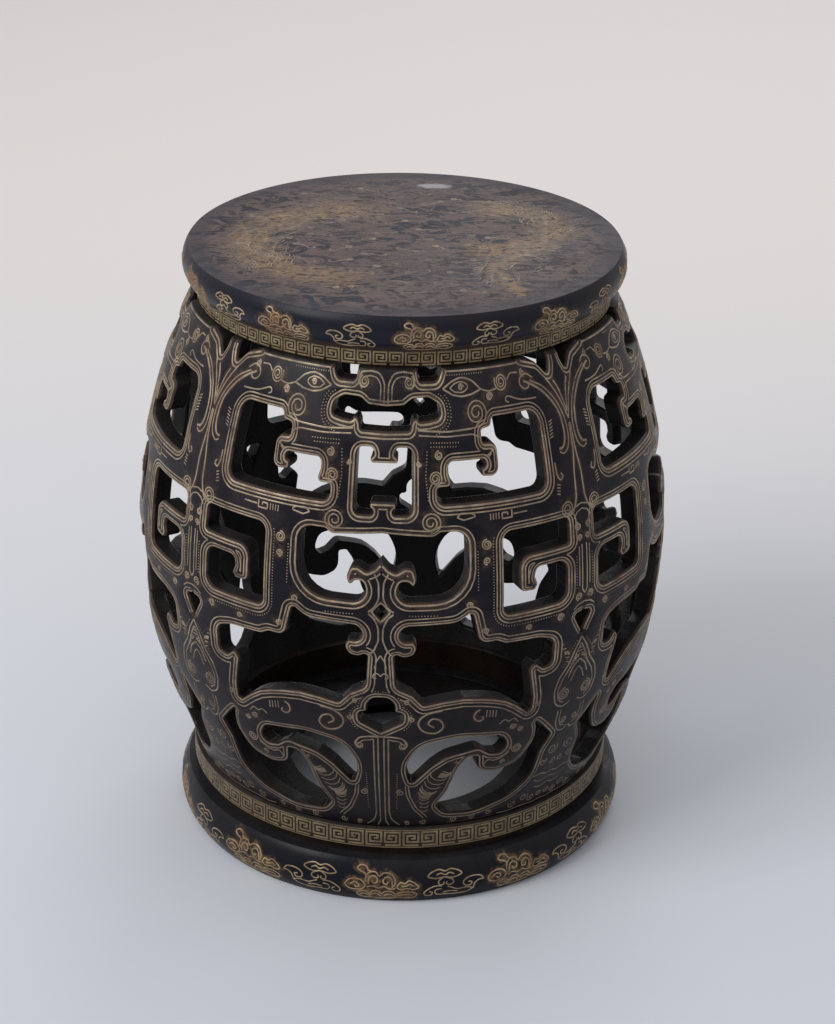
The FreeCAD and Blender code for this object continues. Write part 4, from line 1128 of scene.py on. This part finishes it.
colour = blend(tree, ramp(tree, broad, 0.45, 0.62, 0.0, 0.5), colour, (0.098, 0.076, 0.080, 1))
colour = blend(tree, ramp(tree, grain, 0.53, 0.66, 0.0, 0.65), colour, (0.185, 0.138, 0.118, 1))
colour = blend(tree, ramp(tree, grain, 0.46, 0.34, 0.0, 0.75), colour, (0.019, 0.018, 0.024, 1))
wisp = maths(tree, "ABSOLUTE", maths(tree, "SUBTRACT", patch, 0.5))
colour = blend(tree, ramp(tree, wisp, 0.02, 0.004, 0.0, 0.55), colour, (0.20, 0.152, 0.135, 1))
separate = shader_node(tree, "SeparateXYZ", {"Vector": place})
PLUME_GOLD = (0.285, 0.19, 0.105, 1)
# Plumes: middle (x, y), radius and half width of the curl, and the x from which it fades and is full
PLUMES = [
    (-38, -12, 75, 27, -8, -52), (62, 30, 47, 21, 34, 62), (134, -58, 62, 10, 108, 84),
]
for x, y, radius, half_width, fades, full in PLUMES:
    inputs = {0: place, 1: (x * MM, y * MM, SEAT_TOP * MM)}
    spread = shader_node(tree, "VectorMath", inputs, operation="DISTANCE").outputs["Value"]
    spread = maths(tree, "ADD", spread, maths(tree, "MULTIPLY", patch, 50 * MM))
    off = maths(tree, "ABSOLUTE", maths(tree, "SUBTRACT", spread, (radius + 25) * MM))
    plume = ramp(tree, off, half_width * MM, 0.2 * half_width * MM)
    plume = maths(tree, "MULTIPLY", plume, ramp(tree, separate.outputs["X"], fades * MM, full * MM))
    plume = maths(tree, "MULTIPLY", plume, ramp(tree, grain, 0.38, 0.58, 0.05, 0.85))
    colour = blend(tree, plume, colour, PLUME_GOLD)
level = shader_node(tree, "VectorMath", {0: place, 1: (1, 1, 0)}, operation="MULTIPLY").outputs[0]
from_middle = shader_node(tree, "VectorMath", {0: level}, operation="LENGTH").outputs["Value"]
margin = maths(tree, "ADD", from_middle, maths(tree, "MULTIPLY", broad, 8 * MM))
colour = blend(tree, ramp(tree, margin, 0.146, 0.156, 0.0, 0.6), colour, (0.056, 0.053, 0.064, 1))
# Painted highlight: a pale grey spot on the top near the back
PALE_HIGHLIGHT = (13, 129, SEAT_TOP)
PALE_HIGHLIGHT_SIZE = (11, 5.5, 10)
offset = shader_node(tree, "VectorMath", {0: place, 1: Vector(PALE_HIGHLIGHT) * MM}, operation="SUBTRACT").outputs[0]
sized = {0: offset, 1: Vector(PALE_HIGHLIGHT_SIZE) * MM}
offset = shader_node(tree, "VectorMath", sized, operation="DIVIDE").outputs[0]
reach = shader_node(tree, "VectorMath", {0: offset}, operation="LENGTH").outputs["Value"]
reach = maths(tree, "ADD", reach, maths(tree, "MULTIPLY", patch, 3.0))
painted_highlight = ramp(tree, maths(tree, "ADD", reach, maths(tree, "MULTIPLY", grain, 1.6)), 3.6, 2.7)
colour = blend(tree, painted_highlight, colour, (0.36, 0.345, 0.36, 1))
foot = ramp(tree, separate.outputs["Z"], (RIM_FOOT + 6.5) * MM, (RIM_FOOT + 4.5) * MM, 0.0, 0.75)
edge_colour = blend(tree, foot, edge_colour, (0.052, 0.036, 0.031, 1))
upright = shader_node(tree, "SeparateXYZ", {"Vector": shader_node(tree, "NewGeometry").outputs["Normal"]})
on_top = ramp(tree, upright.outputs["Z"], 0.72, 0.96)
tree.links.new(blend(tree, on_top, edge_colour, colour), shader.inputs["Base Color"])
tree.links.new(ramp(tree, on_top, 0.0, 1.0, 0.18, 0.05), shader.inputs["Specular IOR Level"])
relief = maths(tree, "ADD", patch, maths(tree, "MULTIPLY", grain, 0.6))
bump = shader_node(tree, "Bump", {"Height": relief, "Strength": 0.35, "Distance": 0.6 * MM})
tree.links.new(bump.outputs["Normal"], shader.inputs["Normal"])

seat_rim.data.materials.append(seat_lacquer)
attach(seat_rim, "root")
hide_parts(*(f"seat_rim_{side}" for side in PANELS))
RIM_CLOUDS_AROUND = RIM_TOP_EDGE + 3
RIM_CLOUDS_LEVEL = 455
RIM_CLOUDS_SCALE = 0.74
rim_clouds = cloud_ring(
    "rim_clouds", seat_rim, rim_edge, RIM_CLOUDS_AROUND, RIM_CLOUDS_LEVEL, CLOUD_PAIRS,
    RIM_CLOUDS_SCALE, shift=0.5,
)

# Seat panel: a round board flush with the rim, held by a tongue all round, lacquered with it
PANEL_THICKNESS = 14
seat_panel = turned("seat_board", [
    (0, SEAT_TOP - PANEL_THICKNESS), (RIM_INSIDE, SEAT_TOP - PANEL_THICKNESS), (RIM_INSIDE, SEAT_TOP),
    (RIM_INSIDE * 0.66, SEAT_TOP), (RIM_INSIDE * 0.33, SEAT_TOP), (0, SEAT_TOP),
])
seat_panel.data.materials.append(seat_lacquer)
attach(seat_panel, "root")
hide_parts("seat_panel")

# Seat picture: curling plumes and drifting cloud wisps drawn in thin gold, now mostly rubbed away
PLUME_LINE = 0.9
PLUME_HEIGHT = 0.06
PICTURE_EDGE = 138
# Plumes: middle (x, y), inner and outer radius, first and last angle in degrees
PLUME_ARCS = [(-38, -12, 50, 98, 72, 222), (62, 30, 30, 66, -70, 110), (134, -58, 50, 74, 128, 206)]
ROW_GAP = 8.0
BARB_GAP = 4.2
BARB_LENGTH = 13.0
picture = []
for x, y, inner, outer, first, last in PLUME_ARCS:
    middle = Vector((x, y))
    for row in range(int((outer - inner) / ROW_GAP) + 1):
        radius = inner + row * ROW_GAP
        steps = int(math.radians(last - first) * radius / BARB_GAP)
        for step in range(steps):
            angle = math.radians(first + (last - first) * (step + row % 2 / 2) / steps)
            outward = Vector((math.cos(angle), math.sin(angle)))
            along = Vector((-outward.y, outward.x))
            length = BARB_LENGTH * (0.75 + 0.35 * math.sin(5 * angle + 2 * row))
            start = middle + outward * (radius + 2.5 * math.sin(9 * angle + row))
            tip = start + (along + outward * 0.55) * length
            if max(start.length, tip.length) < PICTURE_EDGE:
                picture.append(stroke([start, start + (along * 0.5 + outward * 0.1) * length, tip], 0.8))
WISPS = 70
GOLDEN_TURN = math.radians(137.508)
WISP = rounded([(-8, 0, 0), (-4, 2.4, 3), (1, 0, 2), (5, -1.8, 3), (9, 0.6, 2), (6, 2.6, 0)], closed=False)
WISP_CURL = curl(-8, 2.4, 2.6, 1.6, 270, -1)
for number in range(WISPS):
    distance = (PICTURE_EDGE - 12) * math.sqrt((number + 0.5) / WISPS)
    angle = number * GOLDEN_TURN
    mirror = 1 if number % 2 else -1
    lean = Matrix.Rotation(0.5 * math.sin(3 * angle), 2)
    for points in (WISP, WISP_CURL):
        line = stroke([lean @ point for point in points])
        picture.append(moved(line, distance * math.cos(angle), distance * math.sin(angle), 1.0, mirror))
gold_picture = gilding(
    "gold_picture", (0.33, 0.235, 0.14, 1), (0.19, 0.135, 0.09, 1), (0.21, 0.135, 0.095, 1),
    (0.075, 0.060, 0.060, 1), 0.52, 0.1,
)
seat_picture = raised_lines("seat_picture", picture, PLUME_LINE, PLUME_HEIGHT)
seat_picture.data.transform(Matrix.Translation((0, 0, SEAT_TOP * MM)))
seat_picture.data.materials.append(gold_picture)
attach(seat_picture, "root")

# Joinery: the battens under the seat, and the tenons, pegs and dowels inside the joints, are left
# as bare planed wood.
bare_wood, tree, shader = new_material("bare_wood")
place = shader_node(tree, "TexCoord").outputs["Object"]
along = shader_node(tree, "Mapping", {"Vector": place, "Scale": (12, 190, 190)}).outputs["Vector"]
figure = noise(tree, along, 1.0, 5.0, 0.6, 0.8)
tree.links.new(
    blend(tree, ramp(tree, figure, 0.35, 0.65), (0.16, 0.085, 0.042, 1), (0.27, 0.155, 0.08, 1)),
    shader.inputs["Base Color"],
)
tree.links.new(ramp(tree, figure, 0.3, 0.7, 0.5, 0.66), shader.inputs["Roughness"])
for name in (
    "seat_batten_front", "seat_batten_back", "rim_tenons", "rim_pegs", "upper_hoop_tenons",
    "centre_seam_dowels", "corner_seam_dowels", "lower_hoop_tenons", "plinth_tenons", "plinth_pegs",
):
    finish_node(name, bare_wood)

# Studio: a pale floor painted darker and bluer at the front as painted shade and lighter and warmer towards
# the back as painted light, a broad soft lamp from the upper left and a pale sky all round
FLOOR_NEAR_SHADED = (0.71, 0.735, 0.79, 1)
FLOOR_FAR_LIT = (0.90, 0.845, 0.81, 1)
FLOOR_SIZE = 14
SKY_LEVEL = 0.52
floor_material, tree, shader = new_material("studio_floor")
place = shader_node(tree, "TexCoord").outputs["Object"]
depth = shader_node(tree, "SeparateXYZ", {"Vector": place}).outputs["Y"]
# Painted light: the floor runs from a darker, bluer near part to a lighter, warmer far part
tree.links.new(
    blend(tree, ramp(tree, depth, -0.2, 1.6), FLOOR_NEAR_SHADED, FLOOR_FAR_LIT), shader.inputs["Base Color"]
)
shader.inputs["Roughness"].default_value = 0.75
bpy.ops.object.select_all(action="DESELECT")
bpy.ops.mesh.primitive_plane_add(size=FLOOR_SIZE)
floor = bpy.context.object
floor.name = "studio_floor"
floor.data.materials.append(floor_material)

world = bpy.data.worlds.new("pale_sky")
bpy.context.scene.world = world
world.use_nodes = True
sky = world.node_tree.nodes["Background"]
sky.inputs["Color"].default_value = (0.95, 0.96, 1.0, 1)
sky.inputs["Strength"].default_value = SKY_LEVEL

STOOL_MIDDLE = Vector((0, 0, 0.25))
# Lamps: name, place and size in metres, and power in watts
LAMPS = [("key_lamp", (-1.95, -1.65, 2.3), 1.8, 53), ("back_lamp", (0.6, 2.8, 2.6), 2.0, 22)]
for name, spot, size, power in LAMPS:
    lamp = bpy.data.lights.new(name, "AREA")
    lamp.size = size
    lamp.energy = power
    holder = bpy.data.objects.new(name, lamp)
    holder.location = spot
    holder.rotation_euler = (STOOL_MIDDLE - Vector(spot)).to_track_quat("-Z", "Y").to_euler()
    bpy.context.collection.objects.link(holder)

VIEW_DISTANCE = 1.8332
VIEW_HEIGHT = 1.1053
VIEW_ASIDE = 0.0120
VIEW_SWING = math.radians(3.67)
VIEW_TILT = 0.4381
VIEW_ROLL = 0.0136
VIEW_LENS = 91.41
camera = bpy.data.objects.new("photo_view", bpy.data.cameras.new("photo_view"))
camera.data.sensor_width = 36
camera.data.lens = VIEW_LENS
swing = Matrix.Rotation(VIEW_SWING, 4, "Z")
camera.matrix_world = (
    swing @ Matrix.Translation((VIEW_ASIDE, -VIEW_DISTANCE, VIEW_HEIGHT))
    @ Matrix.Rotation(math.pi / 2 - VIEW_TILT, 4, "X") @ Matrix.Rotation(VIEW_ROLL, 4, "Z")
)
bpy.context.collection.objects.link(camera)
bpy.context.scene.camera = camera
bpy.context.scene.view_settings.view_transform = "Standard"
